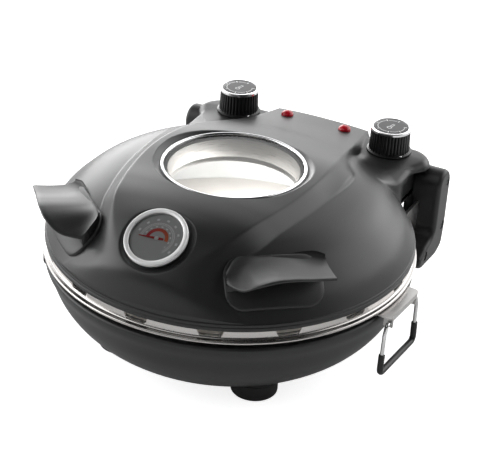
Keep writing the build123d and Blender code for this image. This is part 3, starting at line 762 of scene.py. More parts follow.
# how far out from the wall, and height
hem = [
    (0.4, 17.3), (0.9, 16.9), (1.1, 16.3), (1.1, 14.5), (1.4, 14.3), (1.75, 13.8), (1.8, 13.2),
    (1.8, 11.0), (1.6, HEM_BOTTOM),
]
for out, height in hem:
    rows.append(skirt(out, height, pocket=True))
rows.append(skirt(0, HEM_BOTTOM, HEM_THICK, pocket=True))
rows.append(skirt(0, 15.0, HEM_THICK, pocket=True))
points = np.concatenate(rows)
hidden = []
for sign in (-1, 1):
    hidden.append((sign * KNOB_X, KNOB_Y, KNOB_HOLE))
    hidden.append((sign * LAMP_X, LAMP_Y, LAMP_HOLE))
faces = []
for quad in grid_faces(len(rows), TURNS):
    middle = points[list(quad)].mean(axis=0)
    if middle[2] > 30 and any(np.hypot(middle[0] - x, middle[1] - y) < r for x, y, r in hidden):
        continue
    faces.append(quad)
lid = mesh_piece("lid_top", points, faces, "lid", lid_black, 32, ("lid_shell",))

print("The lid has", len(lid.data.polygons), "faces")

# %% [markdown]
# ## The base
#
# The pan is pressed steel. Its upright band has sixteen vent slots in the top edge, and
# below them a rolled bead. Cutting slots with Booleans would leave rough shading, so the
# band's edge simply dips where a slot is. The band and ledge behind the slots are painted
# dark, as painted shade for the slots' shadowed inside, and the pan's floor is pale.

# %% Base: pan with slots
SLOTS = 16
STEPS = 1600
turn = np.linspace(0, 2 * pi, STEPS, endpoint=False)
off_centre = np.abs((turn / (2 * pi) * SLOTS + 0.5) % 1 - 0.5) * (2 * pi / SLOTS) * BAND_R
SLOT_HALF = 11.0
SLOT_FLOOR = 3.7
SLOT_CORNER = 3.2
into_corner = np.clip(off_centre - (SLOT_HALF - SLOT_CORNER), 0, SLOT_CORNER)
slot_line = SLOT_FLOOR + SLOT_CORNER - np.sqrt(np.maximum(SLOT_CORNER**2 - into_corner**2, 0))
band_edge = np.where(off_centre < SLOT_HALF, slot_line, BAND_TOP)
pan_profile = [(0, -44), (144, -44), (147, -24), (158, -24), (167, -6), (167.3, 1.5), (172.5, 2.4)]
pan_rest = [(174.9, 3.4), (175.1, 2.8), (175.5, 2.3), (176.2, 1.9), (177.2, 1.65)]
pan_rest += arc((178, 0), 1.5, 88, -88, 12)
pan_rest += [(168.2, -1.5), (168.2, -6.3), (158.6, -25), (147.9, -25), (145, -45), (0, -45)]
rows = [turned_points([p], STEPS) for p in pan_profile]
BAND_FOOT = 3.0
# radius and share of the band's height
band = [
    (173.2, 0.0), (173.3, 0.5), (173.45, 0.96), (173.8, 1.0), (174.3, 1.0), (174.6, 0.96),
    (174.8, 0.5), (174.9, 0.05),
]
for reach, share in band:
    ring_points = turned_points([(reach, 0)], STEPS)
    ring_points[:, 2] = BAND_FOOT + (band_edge - BAND_FOOT) * share
    rows.append(ring_points)
rows += [turned_points([p], STEPS) for p in pan_rest]
pan = mesh_piece(
    "pan_rim", np.concatenate(rows), grid_faces(len(rows), STEPS), "base", rim_steel, 34,
    ("base_pan",),
)
pan.data.materials.append(pan_pale)
# the third finish darkens the inner band and ledge behind the slots as painted shade
pan.data.materials.append(slot_shade_paint)
PALE_R = 167.2
SLOT_SHADE_R = 173.4
SLOT_SHADE_TOP = 3.2
for polygon in pan.data.polygons:
    middle = polygon.center * 1000 - Vector((0, AXIS_Y, BEAD_Z))
    inward = polygon.normal.z * 170 - polygon.normal.xy @ middle.xy > 0
    if inward and middle.xy.length < SLOT_SHADE_R and middle.z < SLOT_SHADE_TOP:
        polygon.material_index = 1 if middle.xy.length < PALE_R else 2

print("The pan has", SLOTS, "slots,", 2 * SLOT_HALF, "mm long")

# %% [markdown]
# The painted bowl hangs below the bead, with a dark gap between them. Its section is one
# smooth curve with a rounded lip. The feet are turned too. Their tops follow the bowl's
# slope, so that no foot pokes through.

# %% Base: bowl, cover and feet
BOWL_WALL = 1.6
bowl_reach = smooth_curve(
    [
        (-90, 96), (-87.3, 114), (-80, 129), (-68, 145.5), (-55.5, 157.2), (-43, 165.3), (-24, 172.9),
        (-11.5, 177.5), (-9, 177.6),
    ]
)
bowl_profile = [(0, -90), (60, -90), (92, -90), (98, -89.8), (106, -88.9)]
for z in np.linspace(-87.3, -11.5, 40):
    bowl_profile.append((float(bowl_reach(z)), float(z)))
bowl_profile += arc((174.9, -9.7), 2.7, 5, 90, 7)
bowl_profile += [
    (170.2, -7.0), (170, -6.8), (170, -1.7), (168.6, -1.7), (168.6, -8.5), (174, -8.6), (176, -11.5),
]
for z in np.linspace(-12, -86, 16):
    bowl_profile.append((float(bowl_reach(z)) - BOWL_WALL, float(z)))
bowl_profile += [(98, -88.4), (0, -88.4)]
turned("bowl", bowl_profile, "base", bowl_black, 256, nodes=("base_bowl",))
turned(
    "cover_plate", [(0, -91.2), (77.4, -91.2), (78, -90.8), (78, -90.1), (0, -90.1)], "base",
    sheet_steel, nodes=("bottom_cover",),
)
FOOT_R = 22.2
FOOT_X = 72.5
FOOT_Y = 79.2
for side, x in (("right", FOOT_X), ("left", -FOOT_X)):
    for end, y in (("front", -FOOT_Y), ("rear", FOOT_Y)):
        profile = [(0, -99), (FOOT_R - 2.2, -99)] + arc((FOOT_R - 2, -97), 2.0, -85, 0, 6)
        profile += [
            (FOOT_R, -84), (FOOT_R - 0.6, -83.6), (FOOT_R - 0.6, -82.8), (FOOT_R, -82.4),
            (FOOT_R, -77),
        ]
        count = 72
        points = turned_points(profile, count, (x, y, 0))
        top = points[-count:]
        reach = np.hypot(top[:, 0], top[:, 1])
        level = np.interp(reach, [85, 98, 114, 129, 135.5], [-90, -90, -87.3, -80, -75.5]) + 0.8
        top[:, 2] = level
        points[-5 * count : -count, 2] = np.minimum(points[-5 * count : -count, 2], np.tile(level - 0.2, 4))
        mesh_piece(
            f"foot_{end}_{side}_shape", points, grid_faces(len(profile), count), "base", rubber_black,
            40, (f"foot_{end}_{side}",),
        )

print("The bowl's section has", len(bowl_profile), "points")

# %% [markdown]
# ## Grips
#
# A grip is one moulding: a pad that lies on the lid and a bowed fin that stands out of it.
# A Shrinkwrap modifier could lay the pad down. Here each place of the outline looks for the
# lid along the pad's own normal, which also works where the lid curves away.

# %% Grips: pad
PAD_TURN = radians(-50.5)
PAD_LEAN = radians(42)
pad_out = np.array([cos(PAD_TURN), sin(PAD_TURN), 0])
pad_along = np.array([-sin(PAD_TURN), cos(PAD_TURN), 0])
pad_normal = pad_out * sin(PAD_LEAN) + np.array([0, 0, cos(PAD_LEAN)])
pad_up = np.cross(pad_normal, pad_along)
pad_up *= np.sign(pad_up[2])
PAD_REACH = 157.0
PAD_HEIGHT = 45.0
PAD_MIDDLE = pad_out * PAD_REACH + np.array([0, 0, PAD_HEIGHT])
PAD_THICK = 2.8


def on_lid(along, up):
    """The lid's point under a place of the pad's plane, found by halving."""
    base = PAD_MIDDLE + along[..., None] * pad_along + up[..., None] * pad_up
    low = np.full(along.shape, -30.0)
    high = np.full(along.shape, 30.0)
    for _ in range(26):
        middle = (low + high) / 2
        point = base + middle[..., None] * pad_normal
        above = point[..., 2] > lid_height(point[..., 0], point[..., 1])
        high = np.where(above, middle, high)
        low = np.where(above, low, middle)
    return base + high[..., None] * pad_normal


PAD_PLACE = np.array((6.0, 3.0))
pad_corners = [(-44, -24), (44, -24), (44, 24), (-44, 24)]
pad_outline = rounded_path(pad_corners, 17, closed=True, count=14)
fine = []
for first, last in zip(pad_outline, np.roll(pad_outline, -1, axis=0)):
    count = max(int(np.linalg.norm(last - first) / 2.0), 1)
    fine += [first + (last - first) * k / count for k in range(count)]
pad_outline = np.array(fine)
# share of the outline and lift off the lid
pad_rings = [(1.0, -1.5), (1.0, 1.7), (0.993, 2.4)]
pad_rings += [(share, PAD_THICK) for share in (0.975, 0.9, 0.8, 0.65, 0.45, 0.25, 0.02)]
rows = []
for share, lift in pad_rings:
    spot = PAD_PLACE + pad_outline * share
    rows.append(on_lid(spot[:, 0], spot[:, 1]) + pad_normal * lift)
pad_points = np.concatenate(rows)
pad_faces = grid_faces(len(rows), len(pad_outline))

print("The pad's outline has", len(pad_outline), "points")

# %% [markdown]
# The fin is a thin sheet. At each place along the pad it bows from its root through a
# valley to its free edge, and the free edge is a round lip. A table gives these three
# places, and the sheet's underside follows them.

# %% Grips: fin
# place along the pad, then distance inside the bead and height of root, valley and free edge
WING = [
    (-37, 24, 58.0, 21, 54.5, 17.5, 51.2),
    (-28, 35, 64.0, 20.5, 56.5, 2.3, 54.5),
    (-16, 38.3, 64.6, 23.7, 61.3, -6.8, 62.5),
    (0, 39.7, 63.3, 27, 62.4, -8, 66.6),
    (18, 42, 62.2, 29.5, 61.0, -5.6, 65.8),
    (36, 44, 62.6, 32, 58.0, -2.2, 62.8),
    (46, 43.5, 62.6, 31.6, 57.0, -0.8, 61.6),
    (54, 40, 61.0, 30.4, 56.6, 0.6, 60.6),
]
WING_COLUMNS = 90
WING_SHEET = 2.8
places = np.linspace(WING[0][0], WING[-1][0], WING_COLUMNS)
wing = [smooth_curve([(row[0], row[k]) for row in WING])(places) for k in range(1, 7)]
root = np.stack([BEAD_R - wing[0], wing[1]], axis=-1)
valley = np.stack([BEAD_R - wing[2], wing[3]], axis=-1)
free = np.stack([BEAD_R - wing[4], wing[5]], axis=-1)


def bowed(first, through, last, count):
    """Points of a smooth bow through three points."""
    control = 2 * through - (first + last) / 2
    return [
        (1 - t) ** 2 * first + 2 * t * (1 - t) * control + t * t * last for t in np.linspace(0, 1, count)
    ]


section = bowed(root, valley, free, 22)
lip = (section[-1] - section[-2]) / np.linalg.norm(section[-1] - section[-2], axis=1)[:, None]
below = np.stack([lip[:, 1], -lip[:, 0]], axis=-1) * WING_SHEET / 2
for angle in np.linspace(0, pi, 7)[1:]:
    section.append(free + below * (1 - cos(angle)) + lip * sin(angle) * WING_SHEET / 2)
under = valley + (3.0, -3.8)
section += bowed(section[-1], (section[-1] + under) / 2 + (0, -0.8), under, 10)[1:]
section.append(valley + (1.0, -22.0))
section.append(root + (-2.0, -16.0))
wing_points = np.concatenate(
    [row[:, :1] * pad_out + places[:, None] * pad_along + row[:, 1:] * (0, 0, 1) for row in section]
)
wing_faces = grid_faces(len(section), WING_COLUMNS, around=False, lengthwise=True)
for column in (0, WING_COLUMNS - 1):
    wing_faces.append(tuple(k * WING_COLUMNS + column for k in range(len(section))))
for side, sign in (("right", 1), ("left", -1)):
    points = np.concatenate([pad_points, wing_points]) * (sign, 1, 1)
    faces = pad_faces + [tuple(len(pad_points) + k for k in face) for face in wing_faces]
    mesh_piece(f"grip_{side}", points, faces, "lid", grip_black, 40, (f"handle_{side}",))

print("A grip has", len(faces), "faces")

# %% [markdown]
# ## Window and inside
#
# Under the glass a short steel well leads down to the reflector, and past it one sees the
# pan's pale floor and the stone. All of it is turned. The inner pieces are as simple as
# they look through the glass.

# %% Window, well and reflector
bezel = [(66.0, 80.5), (66.0, 81.2), (66.4, 82.0), (67.1, 82.4)]
bezel += arc((67.9, 81.1), 1.4, 80, 0, 6)
bezel.append((69.3, 80.5))
turned("window_frame", bezel, "lid", chrome, 256, closed=True, nodes=("window_bezel",))
turned("window_pane", [(0, 80.3), (66.4, 80.3)], "lid", window_clear, 96, nodes=("window_glass",))
well = [
    (62.4, 54), (62.4, 58), (62.6, 58.6), (62.4, 59.2), (62.4, 77.5), (65.4, 77.5), (65.4, 77.2),
    (63.3, 77.0), (63.3, 54),
]
turned("well_wall", well, "lid", liner_steel, 192, closed=True, nodes=("window_well",))
reflector = [
    (63.3, 55), (70, 55), (72, 54.2), (110, 52.5), (138, 42), (157, 26), (164, 15.2), (173.4, 14.4),
]
reflector += [
    (173.4, 13.6), (164, 14.4), (156.6, 25.2), (137.6, 41.2), (110, 51.7), (72, 53.4), (70, 54.2),
    (63.3, 54.2),
]
turned("reflector_dish", reflector, "lid", dish_steel, 192, closed=True, nodes=("lid_reflector",))
turned(
    "stone_disc", [(0, -24), (153, -24), (155, -22.6), (155, -13.4), (153.6, -12), (0, -12)], "stone",
    stone_clay, 192, nodes=("baking_stone",),
)

print("The window is", 2 * bezel[0][0], "mm across inside its ring")

# %% [markdown]
# ## Gauge
#
# The dial's scale is flat. An image would need a file and a layout, so a node group draws
# it from the distance and angle on the dial: two fine circles, short marks, bars and a
# warm band.

# %% Gauge: scale group
GAUGE = (0, GAUGE_Y, GAUGE_Z)


def gauge_piece(name, profile, material, closed=True, nodes=(), body="lid", segments=128):
    """A piece turned round the gauge's own axis."""
    return turned(name, profile, body, material, segments, GAUGE, GAUGE_TILT, closed, 38, nodes)


def polar(tree, centre, tilt=0.0):
    """Distance from an axis and angle round it, in millimetres and degrees. 0 points right."""
    place = add(tree, "TexCoord")
    turn_back = add(tree, "VectorRotate", rotation_type="AXIS_ANGLE")
    turn_back.inputs["Center"].default_value = to_frame(centre)
    turn_back.inputs["Axis"].default_value = (1, 0, 0)
    turn_back.inputs["Angle"].default_value = -tilt
    tree.links.new(place.outputs["Object"], turn_back.inputs["Vector"])
    parts = add(tree, "SeparateXYZ")
    tree.links.new(turn_back.outputs[0], parts.inputs[0])
    x = calc(tree, "MULTIPLY_ADD", parts.outputs["X"], 1000.0, -to_frame(centre)[0] * 1000.0)
    y = calc(tree, "MULTIPLY_ADD", parts.outputs["Y"], 1000.0, -to_frame(centre)[1] * 1000.0)
    reach = calc(tree, "SQRT", calc(tree, "MULTIPLY_ADD", y, y, calc(tree, "MULTIPLY", x, x)))
    angle = calc(tree, "MULTIPLY", calc(tree, "ARCTAN2", y, x), 180 / pi)
    return x, y, reach, angle


def between(tree, value, low, high):
    """1 where a value lies between two limits."""
    return calc(
        tree, "MULTIPLY", calc(tree, "GREATER_THAN", value, low),
        calc(tree, "LESS_THAN", value, high),
    )


def either(tree, *masks):
    """1 where any mask is 1."""
    total = masks[0]
    for mask in masks[1:]:
        total = calc(tree, "MAXIMUM", total, mask)
    return total


def both_of(tree, *masks):
    """1 where all masks are 1."""
    total = masks[0]
    for mask in masks[1:]:
        total = calc(tree, "MULTIPLY", total, mask)
    return total


def ticks(tree, angle, first, step, half_width):
    """Marks at even angles: half_width in degrees."""
    off = calc(tree, "PINGPONG", calc(tree, "SUBTRACT", angle, first), step / 2)
    return calc(tree, "LESS_THAN", off, half_width)


scale, scale_in, scale_out = new_group(
    "Gauge scale", [("Ground", "Color", (0.1, 0.1, 0.1, 1)), ("Ink", "Color", (0.8, 0.8, 0.8, 1))],
    [("Colour", "Color")],
)
x, y, reach, angle = polar(scale, GAUGE, GAUGE_TILT)
sweep = calc(scale, "MODULO", calc(scale, "ADD", angle, 360 + 90), 360)
swept = between(scale, sweep, 45, 278)
outer = both_of(scale, between(scale, reach, 15.6, 16.1), swept)
inner = both_of(scale, between(scale, reach, 14.0, 14.4), swept)
short = both_of(scale, between(scale, reach, 14.0, 16.1), ticks(scale, sweep, 45, 6, 0.7), swept)
bars = both_of(
    scale, between(scale, reach, 18.3, 20.3), ticks(scale, sweep, 62, 28, 5.0),
    between(scale, sweep, 50, 272),
)
gaps = ticks(scale, sweep, 62 + 28 / 6, 28 / 3, 0.8)
bars = calc(scale, "MULTIPLY", bars, calc(scale, "SUBTRACT", 1.0, gaps))
small = both_of(
    scale, between(scale, reach, 11.6, 12.8), ticks(scale, sweep, 62, 24, 4.5),
    between(scale, sweep, 60, 262),
)
band = both_of(scale, between(scale, reach, 7.4, 10.6), between(scale, sweep, 88, 276))
colour = mix_colour(
    scale, either(scale, outer, inner, short, bars, small), scale_in.outputs["Ground"],
    scale_in.outputs["Ink"],
)
ramp = add(scale, "ValToRGB")
scale.links.new(calc(scale, "MULTIPLY_ADD", sweep, -1 / 190, 276 / 190), ramp.inputs[0])
ramp.color_ramp.elements[0].color = (0.55, 0.02, 0.05, 1)
ramp.color_ramp.elements[1].color = (0.75, 0.16, 0.05, 1)
colour = mix_colour(scale, band, colour, ramp.outputs[0])
scale.links.new(colour, scale_out.inputs["Colour"])

DIAL_GREY = (0.58, 0.58, 0.58)
dial_face, tree, shader = new_material("dial_face", DIAL_GREY, 0.4)
drawn = use_group(tree, scale, Ground=DIAL_GREY, Ink=(1.0, 1.0, 1.0))
tree.links.new(drawn.outputs[0], shader.inputs["Base Color"])

print("The scale uses", len(scale.nodes), "nodes")

# %% [markdown]
# The gauge is turned about its own tilted axis: a cup, a flat ring with a rounded edge, the
# dial and a pane. The needle is a flat blade, and it rides a body of its own.

# %% Gauge: pieces
cup_profile = [
    (0, -6), (26.6, -6), (27.4, -5.4), (27.4, 0.5), (25, 0.5), (25, -2.1), (21, -2.1), (21, -4.8),
    (0, -4.8),
]
gauge_piece("gauge_body", cup_profile, cup_grey, closed=False, nodes=("gauge_cup",))
ring_profile = [(27.4, -1), (28.6, -1), (28.8, -0.8), (28.8, 1.6)] + arc((27.6, 1.7), 1.2, 0, 90, 6)
ring_profile += [
    (25.2, 2.7), (24.6, 2.3), (24.4, 1.9), (24.4, -0.9), (24.9, -1.2), (24.9, 0.4), (27.3, 0.4),
]
gauge_piece("gauge_ring", ring_profile, bezel_painted_sheen, nodes=("gauge_bezel",))
gauge_piece(
    "gauge_face", [(0.95, -1.3), (24.9, -1.3), (24.9, -2.1), (0.95, -2.1)], dial_face,
    nodes=("gauge_dial",),
)
gauge_piece("gauge_pane", [(0, 1.5), (24.5, 1.5)], lens_clear, closed=False, nodes=("gauge_lens",))
NEEDLE_TURN = radians(186)
needle_flat = [
    (-6.5, -0.9), (-6.5, 0.9), (-2, 1.15), (0, 1.1), (16.5, 0.35), (17.2, 0), (16.5, -0.35),
    (0, -1.1), (-2, -1.15),
]
points = []
for height in (-0.9, -0.35):
    for px, py in needle_flat:
        across = px * cos(NEEDLE_TURN) - py * sin(NEEDLE_TURN)
        along = px * sin(NEEDLE_TURN) + py * cos(NEEDLE_TURN)
        y = along * cos(GAUGE_TILT) - height * sin(GAUGE_TILT)
        z = along * sin(GAUGE_TILT) + height * cos(GAUGE_TILT)
        points.append((across, y, z))
count = len(needle_flat)
faces = grid_faces(2, count) + [tuple(range(count)), tuple(range(count, 2 * count))]
mesh_piece("needle_blade", np.array(points) + GAUGE, faces, "needle", needle_red, nodes=("gauge_needle",))
gauge_piece(
    "needle_hub", [(0, -0.1), (1.3, -0.12), (2.0, -0.35), (2.1, -0.6), (2.1, -0.9), (0, -0.95)],
    hub_white, closed=False, body="needle", segments=48,
)

print("The gauge's ring is", 2 * ring_profile[3][0], "mm across")

# %% [markdown]
# ## Knobs and lamps
#
# A knob is a fluted black body on a skirt, under a chrome ring and a dark cap. The cap's
# arc, marks and little pointer are drawn in the same way as the gauge's scale.

# %% Knobs: marks on the cap
cap_marks, cap_in, cap_out = new_group(
    "Cap scale",
    [
        ("Ground", "Color", (0.05, 0.05, 0.055, 1)),
        ("Ink", "Color", (0.8, 0.8, 0.8, 1)),
        ("Distance", "Float", 0.0),
        ("Angle", "Float", 0.0),
        ("Across", "Float", 0.0),
        ("Along", "Float", 0.0),
    ],
    [("Colour", "Color")],
)
reach = cap_in.outputs["Distance"]
sweep = calc(cap_marks, "MODULO", calc(cap_marks, "ADD", cap_in.outputs["Angle"], 360 - 60), 360)
swept = between(cap_marks, sweep, 20, 320)
line = both_of(
    cap_marks, between(cap_marks, reach, 13.2, 14.0), swept,
    calc(cap_marks, "SUBTRACT", 1.0, ticks(cap_marks, sweep, 20, 50, 7.0)),
)
mark = both_of(
    cap_marks, between(cap_marks, reach, 12.6, 16.0), ticks(cap_marks, sweep, 20, 50, 2.6),
    between(cap_marks, sweep, 15, 325),
)
across = calc(cap_marks, "ABSOLUTE", cap_in.outputs["Across"])
along = cap_in.outputs["Along"]
from_bulb = calc(cap_marks, "ADD", along, 3.6)
bulb_square = calc(cap_marks, "MULTIPLY", across, across)
bulb_square = calc(cap_marks, "MULTIPLY_ADD", from_bulb, from_bulb, bulb_square)
bulb_reach = calc(cap_marks, "SQRT", bulb_square)
bulb = between(cap_marks, bulb_reach, 1.7, 2.7)
stem = both_of(cap_marks, between(cap_marks, across, 0.7, 1.5), between(cap_marks, along, -1.6, 5.2))
tip = both_of(cap_marks, calc(cap_marks, "LESS_THAN", across, 1.5), between(cap_marks, along, 4.4, 5.4))
colour = mix_colour(
    cap_marks, either(cap_marks, line, mark, bulb, stem, tip), cap_in.outputs["Ground"],
    cap_in.outputs["Ink"],
)
cap_marks.links.new(colour, cap_out.inputs["Colour"])

CAP_GREY = (0.05, 0.05, 0.055)


def cap_material(name, centre, lean):
    """The cap of one knob: marks round its own centre, and a pointer that leans a little."""
    material, tree, shader = new_material(name, CAP_GREY, 0.42)
    x, y, reach, angle = polar(tree, centre)
    across = calc(tree, "ADD", calc(tree, "MULTIPLY", x, cos(lean)), calc(tree, "MULTIPLY", y, sin(lean)))
    along = calc(tree, "ADD", calc(tree, "MULTIPLY", x, -sin(lean)), calc(tree, "MULTIPLY", y, cos(lean)))
    drawn = use_group(
        tree, cap_marks, Ground=CAP_GREY, Ink=(0.75, 0.75, 0.75), Distance=reach,
        Angle=angle, Across=across, Along=along,
    )
    tree.links.new(drawn.outputs[0], shader.inputs["Base Color"])
    return material


print("The cap's marks use", len(cap_marks.nodes), "nodes")

# %% [markdown]
# The flutes could be an Array of cuts. Here each ring of the body is a wave, deepest in the
# grip and flat at the skirt and the top, so the flutes fade out as the moulded ones do. The
# lamps are small red domes.

# %% Knobs and lamps
FLUTES = 36
FLUTE_DEPTH = 1.15
POINTER_LEAN = radians(-10)
# height, radius and share of the flutes' depth
KNOB_LEVELS = [
    (48.9, 22.5, 0), (49.2, 22.9, 0), (50.0, 22.8, 0), (50.5, 22.2, 0), (50.7, 21.4, 0.0),
    (51.2, 20.9, 1.0), (60, 20.4, 1.0), (70.8, 20.1, 1.0), (71.4, 20.0, 0.5), (71.85, 19.9, 0.0),
    (71.9, 17.2, 0.0), (74.0, 17.0, 0.0),
]
ring_profile = [(17.3, 71.95), (20.5, 71.95), (20.8, 72.2), (20.8, 73.8)]
ring_profile += arc((19.9, 74.1), 0.9, 0, 80, 6)
ring_profile += [(18.6, 75.05), (18.1, 74.7), (18.1, 73.9)]
cap_profile = [(0, 74.9), (14, 74.9), (17.5, 74.85), (18.0, 74.6), (18.0, 74.1)]
for name, sign in (("timer", -1), ("thermostat", 1)):
    centre = np.array([sign * KNOB_X, KNOB_Y, 0])
    count = FLUTES * 10
    turn = np.linspace(0, 2 * pi, count, endpoint=False)
    wave = np.abs(np.cos(turn * FLUTES / 2)) ** 0.6
    rows = []
    for height, radius, share in KNOB_LEVELS:
        reach = radius - share * FLUTE_DEPTH * (1 - wave)
        ring = [reach * np.sin(turn), -reach * np.cos(turn), np.full(count, height)]
        rows.append(np.stack(ring, axis=-1) + centre)
    mesh_piece(
        f"{name}_body_shape", np.concatenate(rows), grid_faces(len(rows), count), name, knob_black,
        34, (f"{name}_knob",),
    )
    turned(
        f"{name}_ring_shape", ring_profile, name, chrome, 128, centre, closed=True,
        nodes=(f"{name}_ring",),
    )
    cap_face = cap_material(f"{name}_cap_face", centre, POINTER_LEAN)
    turned(f"{name}_cap_shape", cap_profile, name, cap_face, 96, centre, nodes=(f"{name}_cap",))

lamp_profile = [
    (0, 58.4), (1.6, 58.3), (3.2, 57.9), (4.7, 57.2), (5.8, 56.3), (6.4, 55.2), (6.55, 54.4),
    (6.55, 47),
]
for side, sign in (("right", 1), ("left", -1)):
    turned(
        f"lamp_{side}", lamp_profile, "lid", lamp_red, 64, (sign * LAMP_X, LAMP_Y, 0),
        nodes=(f"pilot_lamp_{side}",),
    )

print("Two knobs with", FLUTES, "flutes, and two lamps")

# %% [markdown]
# The bails are chrome wire with a black sleeve on the grip. A curve with a bevel would do.
# A tube of rings gives the same, and its ends can be closed.

# %% Bails
BAIL_TURN = radians(-4)
BAIL_R = 185.5
BAIL_Z = -11.0
WIRE_R = 1.8
SLEEVE_R = 3.0


def bail_place(path, sign):
    """From (along the rim, height) to the body's millimetres on one side."""
    along = path[:, 0]
    x = BAIL_R * cos(BAIL_TURN) - along * sin(BAIL_TURN)
    y = BAIL_R * sin(BAIL_TURN) + along * cos(BAIL_TURN)
    return np.stack([x * sign, y, path[:, 1]], axis=-1)


half = [(20, BAIL_Z), (30, BAIL_Z), (33, -21), (34.5, -61)]
wire = rounded_path(half + [(-y, z) for y, z in reversed(half)], 3.4, count=8)
cover = rounded_path([(33.75, -41), (34.5, -61), (-34.5, -61), (-33.75, -41)], 5.0, count=10)
for side, sign in (("right", 1), ("left", -1)):
    tube(
        f"bail_wire_{side}", bail_place(wire, sign), WIRE_R, f"bail_{side}", wire_chrome, 16,
        (f"bail_{side}",),
    )
    tube(
        f"bail_cover_{side}", bail_place(cover, sign), SLEEVE_R, f"bail_{side}", sleeve_black, 20,
        (f"bail_sleeve_{side}",),
    )

print("The wire's path has", len(wire), "points")

# %% [markdown]
# ## Hinge arms
#
# A hinge arm is a thick moulded slab with a rounded outer edge and three round recesses
# for its screws. The recesses are cut with a Boolean, since they lie in a flat face where
# it shades well. The arm's root reaches further in, below the lid's pods.

# %% Arms
ARM_INNER = 120.0
ARM_OUTER = 149.0
ARM_EDGE = 4.5
ROOT_INNER = 112.0
SCREWS = [(191.0, 23.3), (189.0, -27.0), (147.5, -44.5)]
RECESS_R = 4.8
RECESS_DEPTH = 2.6
CUT_PROUD = 1.0


def slab(outline, start, end, rounding):
    """Points and faces of a slab along x with a rounded outer edge. The outline is (y, z)."""
    step = np.roll(outline, -1, axis=0) - np.roll(outline, 1, axis=0)
    inward = np.stack([-step[:, 1], step[:, 0]], axis=-1) / np.linalg.norm(step, axis=1)[:, None]
    levels = [(start, 0.0)] + [
        (end - rounding * (1 - sin(a)), rounding * (1 - cos(a))) for a in np.linspace(0, pi / 2, 7)
    ]
    levels.append((end, rounding + 0.3))
    rings = []
    for x, inset in levels:
        ring = outline + inward * inset
        rings.append(np.column_stack([np.full(len(ring), x), ring]))
    count = len(outline)
    faces = grid_faces(len(levels), count)
    faces.append(tuple(range(count)))
    faces.append(tuple((len(levels) - 1) * count + k for k in range(count)))
    return np.concatenate(rings), faces


def drill(piece, places, radius, start, end):
    """Cuts round recesses along x into a piece."""
    work = bmesh.new()
    for x, y, z in places:
        made = bmesh.ops.create_cone(
            work, cap_ends=True, segments=40, radius1=radius / 1000, radius2=radius / 1000,
            depth=(end - start) / 1000,
        )
        bmesh.ops.rotate(work, verts=made["verts"], cent=(0, 0, 0), matrix=Matrix.Rotation(pi / 2, 3, "Y"))
        bmesh.ops.translate(work, verts=made["verts"], vec=to_frame((x, y, z)))
    mesh = bpy.data.meshes.new("cutter")
    work.to_mesh(mesh)
    work.free()
    cutter = bpy.data.objects.new("cutter", mesh)
    bpy.context.scene.collection.objects.link(cutter)
    cut = piece.modifiers.new("holes", "BOOLEAN")
    cut.object = cutter
    cut.operation = "DIFFERENCE"
    cut.solver = "EXACT"
    result = bpy.data.meshes.new_from_object(piece.evaluated_get(bpy.context.evaluated_depsgraph_get()))
    piece.modifiers.clear()
    piece.data = result
    bpy.data.objects.remove(cutter)
    result.set_sharp_from_angle(angle=radians(38))


head = arc((184.0, 22.0), 15.5, 0, 180, 24)
lower = [
    (168.5, -29), (147.5, -36), (133.5, -43), (131.5, -50.5), (139.5, -56.5), (180, -59),
    (196.5, -53), (199.5, -30),
]
lower_sizes = [14, 10, 6, 5, 8, 14, 12, 8]
arm_outline = rounded_path(head + lower, [0] * len(head) + lower_sizes, closed=True, count=9)
root_outline = rounded_path(
    [(199.5, 6), (181, 6), (173, 10.4), (168.5, 10.4)] + lower, [2, 2, 2, 2] + lower_sizes,
    closed=True, count=7,
)
for side, sign in (("right", 1), ("left", -1)):
    points, faces = slab(arm_outline, ARM_INNER, ARM_OUTER, ARM_EDGE)
    root_points, root_faces = slab(root_outline, ROOT_INNER, ARM_INNER + 2, 0.3)
    arm = mesh_piece(
        f"arm_{side}", points * (sign, 1, 1), faces, "base", arm_black, 38, (f"hinge_arm_{side}",),
    )
    start = ARM_OUTER - RECESS_DEPTH
    end = ARM_OUTER + CUT_PROUD
    drill(arm, [(sign * (start + end) / 2, y, z) for y, z in SCREWS], RECESS_R, start, end)
    mesh_piece(
        f"arm_root_{side}", root_points * (sign, 1, 1), root_faces, "base", arm_black, 38,
        (f"hinge_arm_{side}",),
    )

print("Each arm has", len(SCREWS), "recesses")

# %% [markdown]
# ## CAD pieces that stay
#
# The brackets, screws and inner parts are plain enough to keep their CAD shapes. Each gets
# a finish by the start of its name, and smooth shading that stops at its edges.

# %% Finishes on CAD nodes
keep = {
    "arm_screw": screw_dark,
    "hinge_pin": pin_steel,
    "hinge_bracket": sheet_steel,
    "bail_bracket": sheet_steel,
    "cord_gland": rubber_black,
    "housing_floor": arm_black,
    "lower_element": heater_steel,
    "upper_element": heater_steel,
    "lower_clip": sheet_steel,
    "upper_clip": sheet_steel,
    "timer_mechanism": mechanism_grey,
    "thermostat_mechanism": mechanism_grey,
    "timer_spindle": pin_steel,
    "thermostat_spindle": pin_steel,
    "timer_pointer": chrome,
    "thermostat_pointer": chrome,
}
dressed = 0
for node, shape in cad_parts.items():
    if shape.hide_render:
        continue
    finish = next(material for start, material in keep.items() if node.startswith(start))
    shape.data.materials.clear()
    shape.data.materials.append(finish)
    for polygon in shape.data.polygons:
        polygon.use_smooth = True
    shape.data.set_sharp_from_angle(angle=radians(50 if "arm" in node else 30))
    dressed += 1

print(dressed, "CAD pieces stay")

# %% [markdown]
# ## Light, floor and camera
#
# The studio is dark overhead and behind the camera. Large soft panels stand low round the
# rear and the sides, so the black lid is rimmed with light and dark in front. Area lamps
# could stand there. The world draws the panels as round patches with soft edges, which
# leaves no hard edge in a mirror, and the camera itself sees plain white.

# %% Studio
TURN = radians(25.98)
LIFT = radians(29.336)
